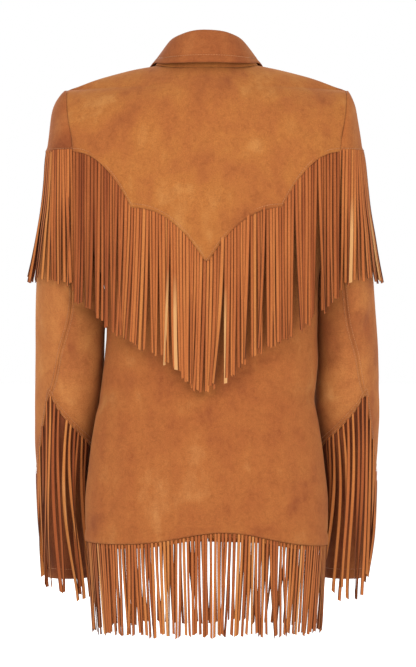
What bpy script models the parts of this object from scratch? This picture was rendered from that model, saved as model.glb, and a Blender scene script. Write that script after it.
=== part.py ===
"""Fringed suede western jacket, hollow and in the pose it takes when it is worn.

+Z is up, the back faces +Y and the wearer's left is +X. The origin is the middle of the neck base, level with
the points where the shoulder seams reach the neck. Tables and sizes are in millimetres, angles in degrees.
"""

import bisect
import math

import bmesh
import bpy
from mathutils import Vector

MM = 0.001

# Hide and seams
SUEDE = 1.6
SEAM_GAP = 0.3
FRINGE_REACH = 3.4
FRINGE_CLEARANCE = 1.6
BACK = 1
FRONT = -1
LEFT = 1
RIGHT = -1

# Neck and shoulders
NECK_HALF_WIDTH = 72.0
NECK_DEPTH = {BACK: 62.0, FRONT: 80.0}
SHOULDER_HALF_WIDTH = 195.0
SHOULDER_DROP = 34.0
SHOULDER_ROLL = {BACK: 95.0, FRONT: 150.0}
SHOULDER_SLOPE = SHOULDER_DROP / (SHOULDER_HALF_WIDTH - NECK_HALF_WIDTH)
SIDE_SQUARENESS = 0.88

# Levels, below the neck points
SHOULDER_POINT = -SHOULDER_DROP
CAP_SEAM = -122.0
UNDERARM = -235.0
CUFF = -721.0
HEM = -667.0
FRINGE_FOOT = -794.0

# Back yoke: two scallops a side, which meet in a cusp
YOKE_CUSP_ACROSS = 102.0
YOKE_CUSP = -200.0
YOKE_POINT = -277.0
YOKE_SIDE_ACROSS = 183.0
YOKE_INNER_POWER = 2.2
YOKE_OUTER_POWER = 2.05

# Hem of the back: arched a little off the middle, and lower at the right side
HEM_ARCH = 21.0
HEM_ARCH_ACROSS = -25.0
HEM_ARCH_WIDTH = 85.0
HEM_TILT = 0.018

# Front closure
OVERLAP = 20.0
OVERLAP_RAMP = 20.0
OVERLAP_LEAD = 5.0
OVERLAP_CLEARANCE = 1.6
BUTTON_LEVELS = (-150.0, -250.0, -350.0, -450.0, -550.0)
BUTTON_RADIUS = 9.5
BUTTON_THICKNESS = 3.6
BUTTON_DISH = 1.0
BUTTON_RIM = 2.4
BUTTON_EDGE = 1.0
BUTTON_UNDERCUT = 1.5
BUTTON_STEPS = 16
BUTTON_SHANK = 1.2

# Yoke, cap, sleeve and hem fringes
YOKE_FRINGE_HALF_WIDTH = 181.0
YOKE_FRINGE_STEPS = 12
CAP_FRINGE_END = 84.0
CAP_FRINGE_FLARE = 5.0
SLEEVE_FRINGE_FREE = 100.0
SLEEVE_FRINGE_LAID = 60.0
SLEEVE_FRINGE_START = -55.0
SLEEVE_FRINGE_END = 128.0
HEM_FRINGE_DRAWN_IN = 0.05
HEM_FRINGE_REACH = 2.4
HEM_FRINGE_FRONT_START = 0.004

# Collar
STAND_TAPER = 0.80
STAND_RISE = {BACK: 43.0, FRONT: 27.0}
STAND_FRONT = 22.0
FALL_END = 166.0
FALL_ROLL_OUT = 11.0
FALL_ROLL_UP = 9.0
COLLAR_FORWARD = -8.0

# Spacing of the mesh. Rows crowd together where the shoulders round over.
CROWN_ROWS = (0.0, 0.05, 0.14, 0.3, 0.52, 0.76, 1.0)
BACK_GUIDE_DIP = 75.0
FRONT_GUIDE_DIP = 12.0
SLEEVE_ROWS = 10
SLEEVE_FRINGE_PARTS = (0.0, 0.15, 0.3, 0.42, 0.48, 0.53, 0.575, 0.62, 0.7, 0.8, 0.9, 1.0)
LEAF_ROWS = (0.0, 0.2, 0.5, 1.0)
SHARP_ANGLE = 40.0
NORMAL_STEP = 0.002
MERGE = 0.01
BISECTIONS = 40

# The points that walls face: this far below a place, and never above these levels
AXIS_BELOW = 40.0
AXIS_TOP = -60.0
SLEEVE_AXIS_BELOW = 12.0
SLEEVE_AXIS_RISE = 30.0

# Looks
SUEDE_ROUGHNESS = 0.92
HORN_ROUGHNESS = 0.4
TAN = (0.51, 0.17, 0.052)
TAN_LIGHT = (0.55, 0.21, 0.075)
TAN_DEEP = (0.40, 0.12, 0.036)
HORN = (0.09, 0.035, 0.016)


class Table:
    """Named columns against the first one, joined by a smooth curve that never overshoots its rows."""

    def __init__(self, columns, *rows):
        ordered = sorted(rows)
        self.keys = [row[0] for row in ordered]
        self.columns = {
            name: [row[place] for row in ordered]
            for place, name in enumerate(columns.split())
        }

    def secant(self, values, place):
        return (values[place + 1] - values[place]) / (self.keys[place + 1] - self.keys[place])

    def slope(self, values, place):
        last = len(values) - 1
        if place in (0, last):
            return self.secant(values, min(place, last - 1))
        before = self.secant(values, place - 1)
        after = self.secant(values, place)
        if before * after <= 0:
            return 0.0
        return 2 * before * after / (before + after)

    def at(self, column, key):
        values = self.columns[column]
        key = min(max(key, self.keys[0]), self.keys[-1])
        low = min(bisect.bisect_right(self.keys, key), len(self.keys) - 1) - 1
        span = self.keys[low + 1] - self.keys[low]
        part = (key - self.keys[low]) / span
        start = self.slope(values, low) * span
        end = self.slope(values, low + 1) * span
        rise = values[low + 1] - values[low]
        cubic = start + end - 2 * rise
        square = 3 * rise - 2 * start - end
        return values[low] + part * (start + part * (square + part * cubic))


# The body's sections, from the chest to the hem. Lean is how far a section's middle stands off the centre.
BODY = Table(
    "height half_width lean",
    (-235, 166, 0),
    (-270, 159, -3),
    (-300, 151, -6),
    (-340, 146, -9),
    (-375, 145, -10.5),
    (-412, 148, -8),
    (-445, 150, -3),
    (-468, 150.5, -0.5),
    (-490, 155, 0),
    (-523, 160.5, 0),
    (-560, 165, 0),
    (-613, 170, 0),
    (-700, 169, 0),
)

# How deep the body is at its middle, behind and in front of the shoulder seams.
DEPTH = Table(
    "height back front",
    (20, 94, 84),
    (-75, 102, 92),
    (-150, 110, 107),
    (-235, 112, 119),
    (-300, 106, 114),
    (-375, 96, 101),
    (-420, 93, 97),
    (-468, 96, 99),
    (-523, 103, 105),
    (-580, 110, 110),
    (-700, 113, 112),
)

# The armhole: how far out it lies, how far the sleeve's section wraps before it meets the body, and how far
# the body's section has turned there.
ARMHOLE = Table(
    "height across open turn",
    (-34, 195, 90, 58),
    (-70, 192.5, 90, 58),
    (-100, 187.5, 90, 60),
    (-122, 183, 90, 63),
    (-160, 174.5, 108, 72),
    (-200, 168.5, 135, 82),
    (-235, 166, 180, 90),
)

# Each sleeve's sections, from the shoulder point to the cuff.
SLEEVES = {
    LEFT: Table(
        "height outer inner half_depth forward",
        (-34, 198, 195, 66, 0),
        (-42, 204.5, 195, 66, 0),
        (-54, 211, 194, 66, 0),
        (-70, 215.5, 192.5, 66, 0),
        (-100, 219.5, 187.5, 66, 0),
        (-122, 222, 183, 66, 0),
        (-160, 227, 174.5, 65, 0),
        (-200, 232, 168.5, 64, 0),
        (-235, 235, 166, 62, 0),
        (-270, 237, 160.5, 61, -2),
        (-300, 238, 153, 60, -5),
        (-375, 240, 148, 57, -12),
        (-412, 240.5, 144.5, 56, -20),
        (-440, 241, 144.5, 55, -28),
        (-468, 241, 147, 54, -36),
        (-523, 239.5, 157, 51, -49),
        (-560, 237, 161, 50, -56),
        (-600, 234, 164, 48, -62),
        (-660, 229, 166, 46, -70),
        (-730, 225, 166, 44, -77),
    ),
    RIGHT: Table(
        "height outer inner half_depth forward",
        (-34, 197.5, 195, 66, 0),
        (-42, 202, 195, 66, 0),
        (-57, 207, 193.8, 66, 0),
        (-79, 211, 191.4, 66, 0),
        (-100, 214.5, 187.5, 66, 0),
        (-122, 217.5, 183, 66, 0),
        (-160, 223, 174.5, 65, 0),
        (-200, 228, 168.5, 64, 0),
        (-235, 231, 166, 62, 0),
        (-270, 233, 164, 61, -8),
        (-300, 234.5, 160.5, 60, -15),
        (-340, 237.5, 157.5, 58.5, -22),
        (-375, 240, 156, 57, -28),
        (-412, 242, 154.5, 56, -34),
        (-440, 243, 152, 55, -38),
        (-468, 243, 150.5, 54, -43),
        (-523, 240, 157, 51, -53),
        (-560, 237, 161, 50, -59),
        (-600, 234, 164, 48, -65),
        (-660, 229, 166, 46, -72),
        (-730, 225, 166, 44, -78),
    ),
}
SLEEVE_CROWN = 78.0
CAP_TOP_GAP = 1.5
SLEEVE_SEAM_TRIM = 0.35

# Sleeve seams as angles round the section: 0 outward, 90 behind, 180 towards the body.
SLEEVE_SEAMS = Table(
    "height behind before",
    (-160, 108, 108),
    (-235, 102, 96),
    (-322, 95, 84),
    (-357, 90, 80),
    (-403, 76, 76),
    (-440, 67, 75),
    (-462, 58, 75),
)
CHEVRON_APEX = 58.0
CHEVRON_FRONT = -75.0
SLEEVE_SEAM_TOP = -160.0

# The chevron seam of the lower sleeve, all round.
CHEVRON = Table(
    "angle height",
    (-150, -575),
    (-90, -590),
    (-30, -592),
    (0, -587),
    (25, -565),
    (36, -540),
    (47, -500),
    (58, -462),
    (75, -481),
    (100, -503),
    (120, -517),
    (150, -533),
    (180, -553),
    (210, -575),
    (270, -590),
    (300, -592),
)

# Columns of the sleeve's pieces where they meet at the chevron, before its apex and behind it.
CHEVRON_BEFORE = (CHEVRON_FRONT, -30.0, 0.0, 14.0, 25.0, 36.0, 47.0, CHEVRON_APEX)
CHEVRON_BEHIND = (CHEVRON_APEX, 75.0, 100.0, 120.0, 150.0, 180.0, 210.0, 250.0, 360 + CHEVRON_FRONT)

# Feet of the fringes: of the yoke's by its distance from the middle, of the others by angle.
YOKE_FRINGE = Table(
    "across foot",
    (0, -455),
    (27, -441),
    (50, -417),
    (100, -386),
    (135, -366),
    (155, -345),
    (185, -324),
)
CAP_FRINGE = Table(
    "angle foot",
    (-95, -300),
    (0, -300),
    (60, -303),
    (95, -318),
)
SLEEVE_FRINGE = Table(
    "angle foot",
    (-60, -705),
    (20, -702),
    (60, -728),
    (130, -742),
)

# Free edge of the collar's leaf, from the middle of the back round to its point.
LEAF = Table(
    "angle across forward height",
    (0, 0, 73, -1),
    (30, 41, 64, -1),
    (60, 68, 39, 0),
    (90, 81, 0, 3),
    (115, 88, -38, -17),
    (140, 80, -73, -58),
    (FALL_END, 50, -103, -117),
)


def blend(start, end, part):
    return start + (end - start) * part


def ease(part):
    """Runs smoothly from 0 to 1, and stays there."""
    part = min(max(part, 0.0), 1.0)
    return part * part * (3 - 2 * part)


def solve(function, low, high):
    """Where an increasing function crosses zero, to well under the thickness of a hair."""
    for _ in range(BISECTIONS):
        middle = (low + high) / 2
        if function(middle) < 0:
            low = middle
        else:
            high = middle
    return (low + high) / 2


def squared(part):
    return abs(part) ** SIDE_SQUARENESS


# ---------------------------------------------------------------- body


def shoulder_ridge(across):
    """Height of the shoulder line, drawn on to the middle where the neck cuts it off."""
    return SHOULDER_SLOPE * (NECK_HALF_WIDTH - abs(across))


def rolled(below, roll):
    """Share of its full depth that the body has reached this far below the shoulder line."""
    part = min(max(below / roll, 0.0), 1.0)
    return math.sqrt(1 - (1 - part) ** 2)


def crown(height):
    return rolled(SHOULDER_POINT - height, SLEEVE_CROWN)


def armhole_depth(height):
    """How far behind, or in front of, the shoulder seam the armhole lies at a height."""
    if height <= UNDERARM:
        return 0.0
    half_depth = SLEEVES[LEFT].at("half_depth", height) * crown(height)
    return half_depth * math.sin(math.radians(ARMHOLE.at("open", height)))


def body_section(height):
    """(middle, half width, turn) of the body's section at a height."""
    if height > UNDERARM:
        return 0.0, ARMHOLE.at("across", height), math.radians(ARMHOLE.at("turn", height))
    return BODY.at("lean", height), BODY.at("half_width", height), math.pi / 2


def body_depth(turned, across, height, facing):
    """How deep the body is where its section has turned by an angle."""
    turn = body_section(height)[2]
    inner = 1 - squared(math.cos(turn))
    share = (squared(math.cos(turned)) - squared(math.cos(turn))) / inner
    column = "back" if facing == BACK else "front"
    below = shoulder_ridge(across) - height
    full = DEPTH.at(column, height) * rolled(below, SHOULDER_ROLL[facing])
    edge = armhole_depth(height)
    return edge + (full - edge) * share


def body_point(share, height, facing):
    """Point of the body's outer face. Share runs from -1 at the right edge to 1 at the left."""
    middle, half, turn = body_section(height)
    turned = abs(share) * turn
    out = half * squared(math.sin(turned)) / squared(math.sin(turn))
    across = middle + math.copysign(out, share)
    return Vector((across, facing * body_depth(turned, across, height, facing), height))


def body_share(across, height):
    """The share at which the body's face lies this far across."""
    middle, half, turn = body_section(height)
    out = abs(across - middle) / half * squared(math.sin(turn))
    turned = math.asin(min(out ** (1 / SIDE_SQUARENESS), 1.0))
    return math.copysign(min(turned / turn, 1.0), across - middle)


def body_top(share, facing):
    """Height of the neck edge, and of the shoulder seam outside it."""
    across = body_point(share, 0.0, facing).x
    ridge = shoulder_ridge(across)
    if abs(across) >= NECK_HALF_WIDTH:
        return ridge
    wanted = NECK_DEPTH[facing] * math.sqrt(1 - (across / NECK_HALF_WIDTH) ** 2)
    below = solve(
        lambda drop: abs(body_point(share, ridge - drop, facing).y) - wanted,
        0.0,
        SHOULDER_ROLL[facing],
    )
    return ridge - below


def yoke_edge_at(across):
    """Height of the back yoke's scalloped edge at a distance across."""
    out = abs(across)
    if out < YOKE_CUSP_ACROSS:
        part = 1 - out / YOKE_CUSP_ACROSS
        return blend(YOKE_CUSP, YOKE_POINT, part**YOKE_INNER_POWER)
    part = max(YOKE_SIDE_ACROSS - out, 0.0) / (YOKE_SIDE_ACROSS - YOKE_CUSP_ACROSS)
    return blend(CAP_SEAM, YOKE_CUSP, part**YOKE_OUTER_POWER)


def yoke_edge(share):
    return solve(
        lambda height: height - yoke_edge_at(body_point(share, height, BACK).x),
        YOKE_POINT - 1.0,
        CAP_SEAM + 1.0,
    )


def hem_at(across, facing):
    level = HEM + HEM_TILT * across
    if facing == FRONT:
        return level
    off = (across - HEM_ARCH_ACROSS) / HEM_ARCH_WIDTH
    return level + HEM_ARCH * math.exp(-off * off)


# ---------------------------------------------------------------- sleeves


def sleeve_section(side, height):
    """(centre across, half width, centre forward, half depth) of a sleeve, as if on the left."""
    table = SLEEVES[side]
    opening = ARMHOLE.at("open", height) if height > UNDERARM else 180.0
    inner = ARMHOLE.at("across", height) if height > UNDERARM else table.at("inner", height)
    outer = table.at("outer", height)
    half_width = (outer - inner) / (1 - math.cos(math.radians(opening)))
    half_depth = table.at("half_depth", height) * crown(height)
    return outer - half_width, half_width, table.at("forward", height), half_depth


def sleeve_point(side, angle, height, lift=0.0):
    """Point of a sleeve's outer face, or of a face that lies this far outside it."""
    centre, half_width, forward, half_depth = sleeve_section(side, height)
    turned = math.radians(angle)
    across = centre + SEAM_GAP + (half_width + lift) * math.cos(turned)
    return Vector((side * across, forward + (half_depth + lift) * math.sin(turned), height))


def sleeve_seam(column, height):
    """Angle of a sleeve's long seam, which ends at the armhole."""
    opening = ARMHOLE.at("open", height) if height > UNDERARM else 180.0
    return min(SLEEVE_SEAMS.at(column, height), opening)


def under_sleeve_angle(part, height):
    behind = SLEEVE_SEAMS.at("behind", height)
    before = 360 - SLEEVE_SEAMS.at("before", height)
    return blend(behind, before, part)


def under_sleeve_top(part):
    """Height at which a line down the under sleeve meets the armhole."""

    def uncovered(height):
        angle = under_sleeve_angle(part, height)
        return 180 - abs(180 - angle) - ARMHOLE.at("open", height)

    return solve(uncovered, UNDERARM, SLEEVE_SEAM_TOP)


# ---------------------------------------------------------------- making a piece


def normal_of(surface, part, down):
    """Unit normal of surface(part, down), both 0 to 1, whichever way it points."""
    step = NORMAL_STEP
    across = surface(min(part + step, 1.0), down) - surface(max(part - step, 0.0), down)
    along = surface(part, min(down + step, 1.0)) - surface(part, max(down - step, 0.0))
    return across.cross(along).normalized()


def grid_slab(columns, rows):
    """A flat closed slab of quads in the unit square, from which a piece is bent to shape."""
    mesh = bmesh.new()
    bmesh.ops.create_grid(mesh, x_segments=columns, y_segments=rows, size=0.5)
    bmesh.ops.solidify(mesh, geom=mesh.faces[:], thickness=1.0)
    bmesh.ops.translate(mesh, verts=mesh.verts, vec=(0.5, 0.5, 0.0))
    return mesh


def make_piece(name, material, mesh):
    bmesh.ops.recalc_face_normals(mesh, faces=mesh.faces)
    if mesh.calc_volume(signed=True) < 0:
        bmesh.ops.reverse_faces(mesh, faces=mesh.faces)
    data = bpy.data.meshes.new(name)
    mesh.to_mesh(data)
    mesh.free()
    data.materials.append(material)
    piece = bpy.data.objects.new(name, data)
    jacket.objects.link(piece)
    data.shade_smooth()
    data.set_sharp_from_angle(angle=math.radians(SHARP_ANGLE))
    return piece


def panel(name, material, surface, parts, downs, thickness=SUEDE, inside=None, facing=None):
    """A piece of hide: its outer face on surface(part, down), its wall turned towards the inside point.

    A back or a front keeps to its own side of the shoulder and side seams.
    """
    mesh = grid_slab(len(parts) - 1, len(downs) - 1)
    for vertex in mesh.verts:
        part = parts[round(vertex.co.x * (len(parts) - 1))]
        down = downs[round(vertex.co.y * (len(downs) - 1))]
        point = surface(part, down)
        if abs(vertex.co.z) > 0.5:
            normal = normal_of(surface, part, down)
            inward = inside(point) - point
            point = point + normal * math.copysign(thickness, normal.dot(inward))
            if facing is not None:
                point.y = facing * max(facing * point.y, SEAM_GAP / 2)
        vertex.co = point * MM
    return make_piece(name, material, mesh)


def long_panel(name, material, surface, parts, downs, inside, facing=None):
    """A panel whose rows run past 1, in stretches of their own spacing."""
    last = downs[-1]

    def scaled(part, down):
        return surface(part, down * last)

    panel(name, material, scaled, parts, [down / last for down in downs], SUEDE, inside, facing)


def spaced(count, start=0.0, end=1.0):
    return [blend(start, end, place / count) for place in range(count + 1)]


def body_axis(point):
    """The point that the body's walls face, at this height."""
    return Vector((0, 0, min(point.z, AXIS_TOP) - AXIS_BELOW))


def sleeve_axis(side):
    def axis(point):
        height = point.z - SLEEVE_AXIS_BELOW
        centre, _, forward, _ = sleeve_section(side, min(height, CAP_SEAM))
        return Vector((side * centre, forward, min(height, CAP_SEAM + SLEEVE_AXIS_RISE)))

    return axis


def as_parts(stations):
    """Stations as shares of the way from the first to the last."""
    return [(station - stations[0]) / (stations[-1] - stations[0]) for station in stations]


# ---------------------------------------------------------------- materials


def hide(name, colour, roughness=SUEDE_ROUGHNESS):
    material = bpy.data.materials.new(name)
    material.use_nodes = True
    shader = material.node_tree.nodes["Principled BSDF"]
    shader.inputs["Base Color"].default_value = (*colour, 1.0)
    shader.inputs["Roughness"].default_value = roughness
    shader.inputs["Metallic"].default_value = 0.0
    return material


# ---------------------------------------------------------------- pieces


def back_shares():
    """Columns of the back, with one on each neck point and on each cusp of the yoke."""
    neck = body_share(NECK_HALF_WIDTH, 0.0)
    cusp = body_share(YOKE_CUSP_ACROSS, YOKE_CUSP)
    half = spaced(4, 0.0, neck)[:-1] + spaced(2, neck, cusp)[:-1] + spaced(4, cusp, 1.0)
    return sorted({-share for share in half} | set(half))


def back_columns():
    return [(share + 1) / 2 for share in back_shares()]


def front_shares():
    """Columns of a front, from its edge past the middle to the side, with one on the neck point."""
    neck = body_share(NECK_HALF_WIDTH, 0.0)
    edge = body_share(-OVERLAP, 0.0)
    near = body_share(STAND_FRONT, 0.0)
    return [edge, 0.0] + spaced(4, near, neck)[:-1] + [share for share in back_shares() if share >= neck]


def with_gap(point, facing):
    """Half a seam's gap away from the plane of the shoulder and side seams."""
    return point + Vector((0, facing * SEAM_GAP / 2, 0))


def back_yoke():
    def surface(part, down):
        share = 2 * part - 1
        height = blend(body_top(share, BACK), yoke_edge(share), down)
        return with_gap(body_point(share, height, BACK), BACK)

    colour = hide("yoke_suede", TAN)
    panel("back_yoke", colour, surface, back_columns(), CROWN_ROWS, SUEDE, body_axis, BACK)


def back_body():
    def surface(part, down):
        share = 2 * part - 1
        top = yoke_edge(share) - SEAM_GAP
        guide = UNDERARM - BACK_GUIDE_DIP * (1 - abs(share))
        height = blend(top, guide, min(down, 1.0))
        if down > 1.0:
            foot = hem_at(body_point(share, HEM, BACK).x, BACK)
            height = blend(guide, foot, down - 1.0)
        return with_gap(body_point(share, height, BACK), BACK)

    downs = spaced(3)[:-1] + spaced(9, 1.0, 2.0)
    long_panel("back_body", hide("back_suede", TAN), surface, back_columns(), downs, body_axis, BACK)


def front(name, side, shade):
    """A front, from the side seam to past the middle. The right one lies over the left."""
    shares = front_shares()
    edge = shares[0]

    def surface(part, down):
        share = side * blend(edge, 1.0, part)
        chest = CAP_SEAM - FRONT_GUIDE_DIP * (1 - abs(share))
        if down <= 1.0:
            height = blend(body_top(share, FRONT), chest, down)
        elif down <= 2.0:
            height = blend(chest, UNDERARM, down - 1.0)
        else:
            height = blend(UNDERARM, hem_at(body_point(share, HEM, FRONT).x, FRONT), down - 2.0)
        point = body_point(share, height, FRONT)
        if side == RIGHT:
            over = ease((point.x + OVERLAP + OVERLAP_RAMP + OVERLAP_LEAD) / OVERLAP_RAMP)
            point.y -= (SUEDE + OVERLAP_CLEARANCE) * over
        return with_gap(point, FRONT)

    parts = as_parts(shares)
    downs = list(CROWN_ROWS[:-1]) + spaced(3, 1.0, 2.0)[:-1] + spaced(9, 2.0, 3.0)
    long_panel(name, hide(name + "_suede", shade), surface, parts, downs, body_axis, FRONT)


def neck_point(angle):
    """Point of the neck seam, at an angle from the middle of the back round to the middle of the front."""
    facing = BACK if abs(angle) <= 90 else FRONT
    turned = math.radians(angle)
    across = NECK_HALF_WIDTH * math.sin(turned)
    height = body_top(body_share(across, 0.0), facing)
    return Vector((across, NECK_DEPTH[facing] * math.cos(turned), height))


def stand_top(angle):
    """Top of the collar's stand, which leans in to the neck."""
    point = neck_point(angle)
    rise = blend(STAND_RISE[FRONT], STAND_RISE[BACK], (1 + math.cos(math.radians(angle))) / 2)
    return Vector((point.x * STAND_TAPER, point.y * STAND_TAPER, point.z + rise))


def neck_axis(point):
    """The point that the collar's walls face, in the middle of the neck."""
    return Vector((0, COLLAR_FORWARD, point.z))


def neck_angle(share, facing):
    """Angle of the neck seam's point on a column of the back or of a front."""
    across = body_point(share, 0.0, facing).x
    turned = math.degrees(math.asin(min(across / NECK_HALF_WIDTH, 1.0)))
    return turned if facing == BACK else 180 - turned


def stand_angles():
    """Columns of the stand, on those of the panels that it is sewn to."""
    neck = body_share(NECK_HALF_WIDTH, 0.0)
    behind = [neck_angle(share, BACK) for share in back_shares() if 0 <= share < neck]
    near = body_share(STAND_FRONT, 0.0)
    before = [neck_angle(share, FRONT) for share in front_shares() if near <= share <= neck]
    half = behind + sorted(before)
    return sorted({-angle for angle in half} | set(half))


def collar():
    colour = hide("collar_suede", TAN)
    lift = Vector((0, 0, 2 * SEAM_GAP))
    angles = stand_angles()
    end = angles[-1]

    def stand(part, down):
        angle = blend(-end, end, part)
        return stand_top(angle).lerp(neck_point(angle) + lift, down)

    panel("collar_stand", colour, stand, as_parts(angles), spaced(1), inside=neck_axis)

    def leaf(part, down):
        angle = blend(-FALL_END, FALL_END, part)
        fold = stand_top(angle)
        out = Vector((fold.x, fold.y, 0)).normalized()
        start = fold + out * SEAM_GAP + Vector((0, 0, SUEDE + 2 * SEAM_GAP))
        roll = start + out * FALL_ROLL_OUT + Vector((0, 0, FALL_ROLL_UP))
        reach = abs(angle)
        end = Vector(
            (
                math.copysign(LEAF.at("across", reach), angle),
                LEAF.at("forward", reach),
                LEAF.at("height", reach),
            )
        )
        return start.lerp(roll, down).lerp(roll.lerp(end, down), down)

    panel("collar_leaf", colour, leaf, spaced(22), LEAF_ROWS, inside=neck_axis)


def sleeve(side, name):
    axis = sleeve_axis(side)
    shades = hide("sleeve_suede_" + name, TAN_LIGHT)

    def cap(part, down):
        height = blend(SHOULDER_POINT - CAP_TOP_GAP, CAP_SEAM, down)
        opening = ARMHOLE.at("open", height)
        return sleeve_point(side, blend(-opening, opening, part), height)

    panel("sleeve_cap_" + name, shades, cap, spaced(10), CROWN_ROWS[:1] + CROWN_ROWS[2:], inside=axis)

    def upper(part, down):
        foot = CHEVRON.at("height", blend(CHEVRON_FRONT, CHEVRON_APEX, part))
        if down <= 1.0:
            height = blend(CAP_SEAM - SEAM_GAP, SLEEVE_SEAM_TOP, down)
        else:
            height = blend(SLEEVE_SEAM_TOP, foot, down - 1.0)
        before = -sleeve_seam("before", height)
        behind = sleeve_seam("behind", height)
        return sleeve_point(side, blend(before, behind, part), height)

    upper_downs = spaced(2)[:-1] + spaced(SLEEVE_ROWS, 1.0, 2.0)
    long_panel("upper_sleeve_" + name, shades, upper, as_parts(CHEVRON_BEFORE), upper_downs, axis)

    def under(part, down):
        top = under_sleeve_top(part)
        angle = under_sleeve_angle(part, CHEVRON.at("height", CHEVRON_APEX))
        foot = CHEVRON.at("height", angle)
        height = blend(top, foot, down)
        angle = under_sleeve_angle(part, height)
        trim = SLEEVE_SEAM_TRIM * (1 - 2 * part)
        return sleeve_point(side, angle + trim, height)

    under_parts = as_parts(CHEVRON_BEHIND)
    panel("under_sleeve_" + name, shades, under, under_parts, spaced(SLEEVE_ROWS), inside=axis)

    def lower(part, down):
        angle = blend(CHEVRON_FRONT, 360 + CHEVRON_FRONT, part)
        top = CHEVRON.at("height", angle) - 2 * SEAM_GAP
        trim = SLEEVE_SEAM_TRIM * (1 - 2 * part)
        return sleeve_point(side, angle + trim, blend(top, CUFF, down))

    lower_parts = as_parts(CHEVRON_BEFORE + CHEVRON_BEHIND[1:])
    panel("lower_sleeve_" + name, shades, lower, lower_parts, spaced(5), inside=axis)


# ---------------------------------------------------------------- fringes


def back_surface(across, height):
    """How far back the jacket reaches at a place: the body's face, or that of the sleeve beside it."""
    reach = 0.0
    middle, half, turn = body_section(height)
    if abs(across - middle) <= half:
        turned = abs(body_share(across, height)) * turn
        reach = body_depth(turned, across, height, BACK)
    side = LEFT if across > 0 else RIGHT
    centre, half_width, forward, half_depth = sleeve_section(side, height)
    off = (abs(across) - centre - SEAM_GAP) / half_width
    if abs(off) < 1:
        reach = max(reach, forward + half_depth * math.sqrt(1 - off * off))
    return reach


def yoke_fringe():
    """The curtain under the yoke. It hangs plumb from the fullest place above each point."""
    steps = YOKE_FRINGE_STEPS
    half_width = YOKE_FRINGE_HALF_WIDTH

    def surface(part, down):
        across = blend(-half_width, half_width, part)
        top = yoke_edge_at(across) - SEAM_GAP
        height = blend(top, YOKE_FRINGE.at("foot", abs(across)), down)
        fullest = max(back_surface(across, blend(top, height, step / steps)) for step in range(steps + 1))
        return Vector((across, fullest + FRINGE_CLEARANCE + FRINGE_REACH, height))

    cusp = (1 + YOKE_CUSP_ACROSS / half_width) / 2
    right = spaced(6, 0.5, cusp)[:-1] + spaced(5, cusp, 1.0)
    parts = [1 - part for part in reversed(right)][:-1] + right
    material = hide("fringe_suede", TAN_DEEP)
    panel("yoke_fringe", material, surface, parts, spaced(5), FRINGE_REACH, body_axis)


def sleeve_fringes(side, name):
    material = hide("sleeve_fringe_suede_" + name, TAN_DEEP)
    axis = sleeve_axis(side)
    reach = FRINGE_CLEARANCE + FRINGE_REACH

    def cap(part, down):
        angle = blend(-CAP_FRINGE_END, CAP_FRINGE_END, part)
        height = blend(CAP_SEAM - 2 * SEAM_GAP, CAP_FRINGE.at("foot", angle), down)
        return sleeve_point(side, angle, height, reach + CAP_FRINGE_FLARE * down * down)

    panel("cap_fringe_" + name, material, cap, spaced(11), spaced(5), FRINGE_REACH, axis)

    def plumb(angle, down):
        """Stays outside the chevron seam's own section on the outer side, and on the sleeve elsewhere."""
        top = CHEVRON.at("height", angle) - 2 * SEAM_GAP
        height = blend(top, SLEEVE_FRINGE.at("foot", angle), down)
        hung = sleeve_point(side, angle, top, reach)
        laid = sleeve_point(side, angle, height, reach)
        outward = ease((SLEEVE_FRINGE_FREE - angle) / SLEEVE_FRINGE_LAID)
        return Vector((blend(laid.x, hung.x, outward), laid.y, height))

    def lower(part, down):
        return plumb(blend(SLEEVE_FRINGE_START, SLEEVE_FRINGE_END, part), down)

    panel("sleeve_fringe_" + name, material, lower, SLEEVE_FRINGE_PARTS, spaced(4), FRINGE_REACH, axis)


def hem_fringe(name, facing, start, end, parts):
    """The curtain below a hem, drawn in a little as it falls."""
    def surface(part, down):
        share = blend(start, end, part)
        edge = body_point(share, HEM, facing)
        top = hem_at(edge.x, facing) - 2 * SEAM_GAP
        point = body_point(share, top, facing) * (1 - HEM_FRINGE_DRAWN_IN * down)
        point.z = blend(top, FRINGE_FOOT, down)
        return with_gap(point, facing)

    material = hide("hem_fringe_suede", TAN_DEEP)
    panel(name, material, surface, parts, spaced(3), HEM_FRINGE_REACH, body_axis)


# ---------------------------------------------------------------- buttons


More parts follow.
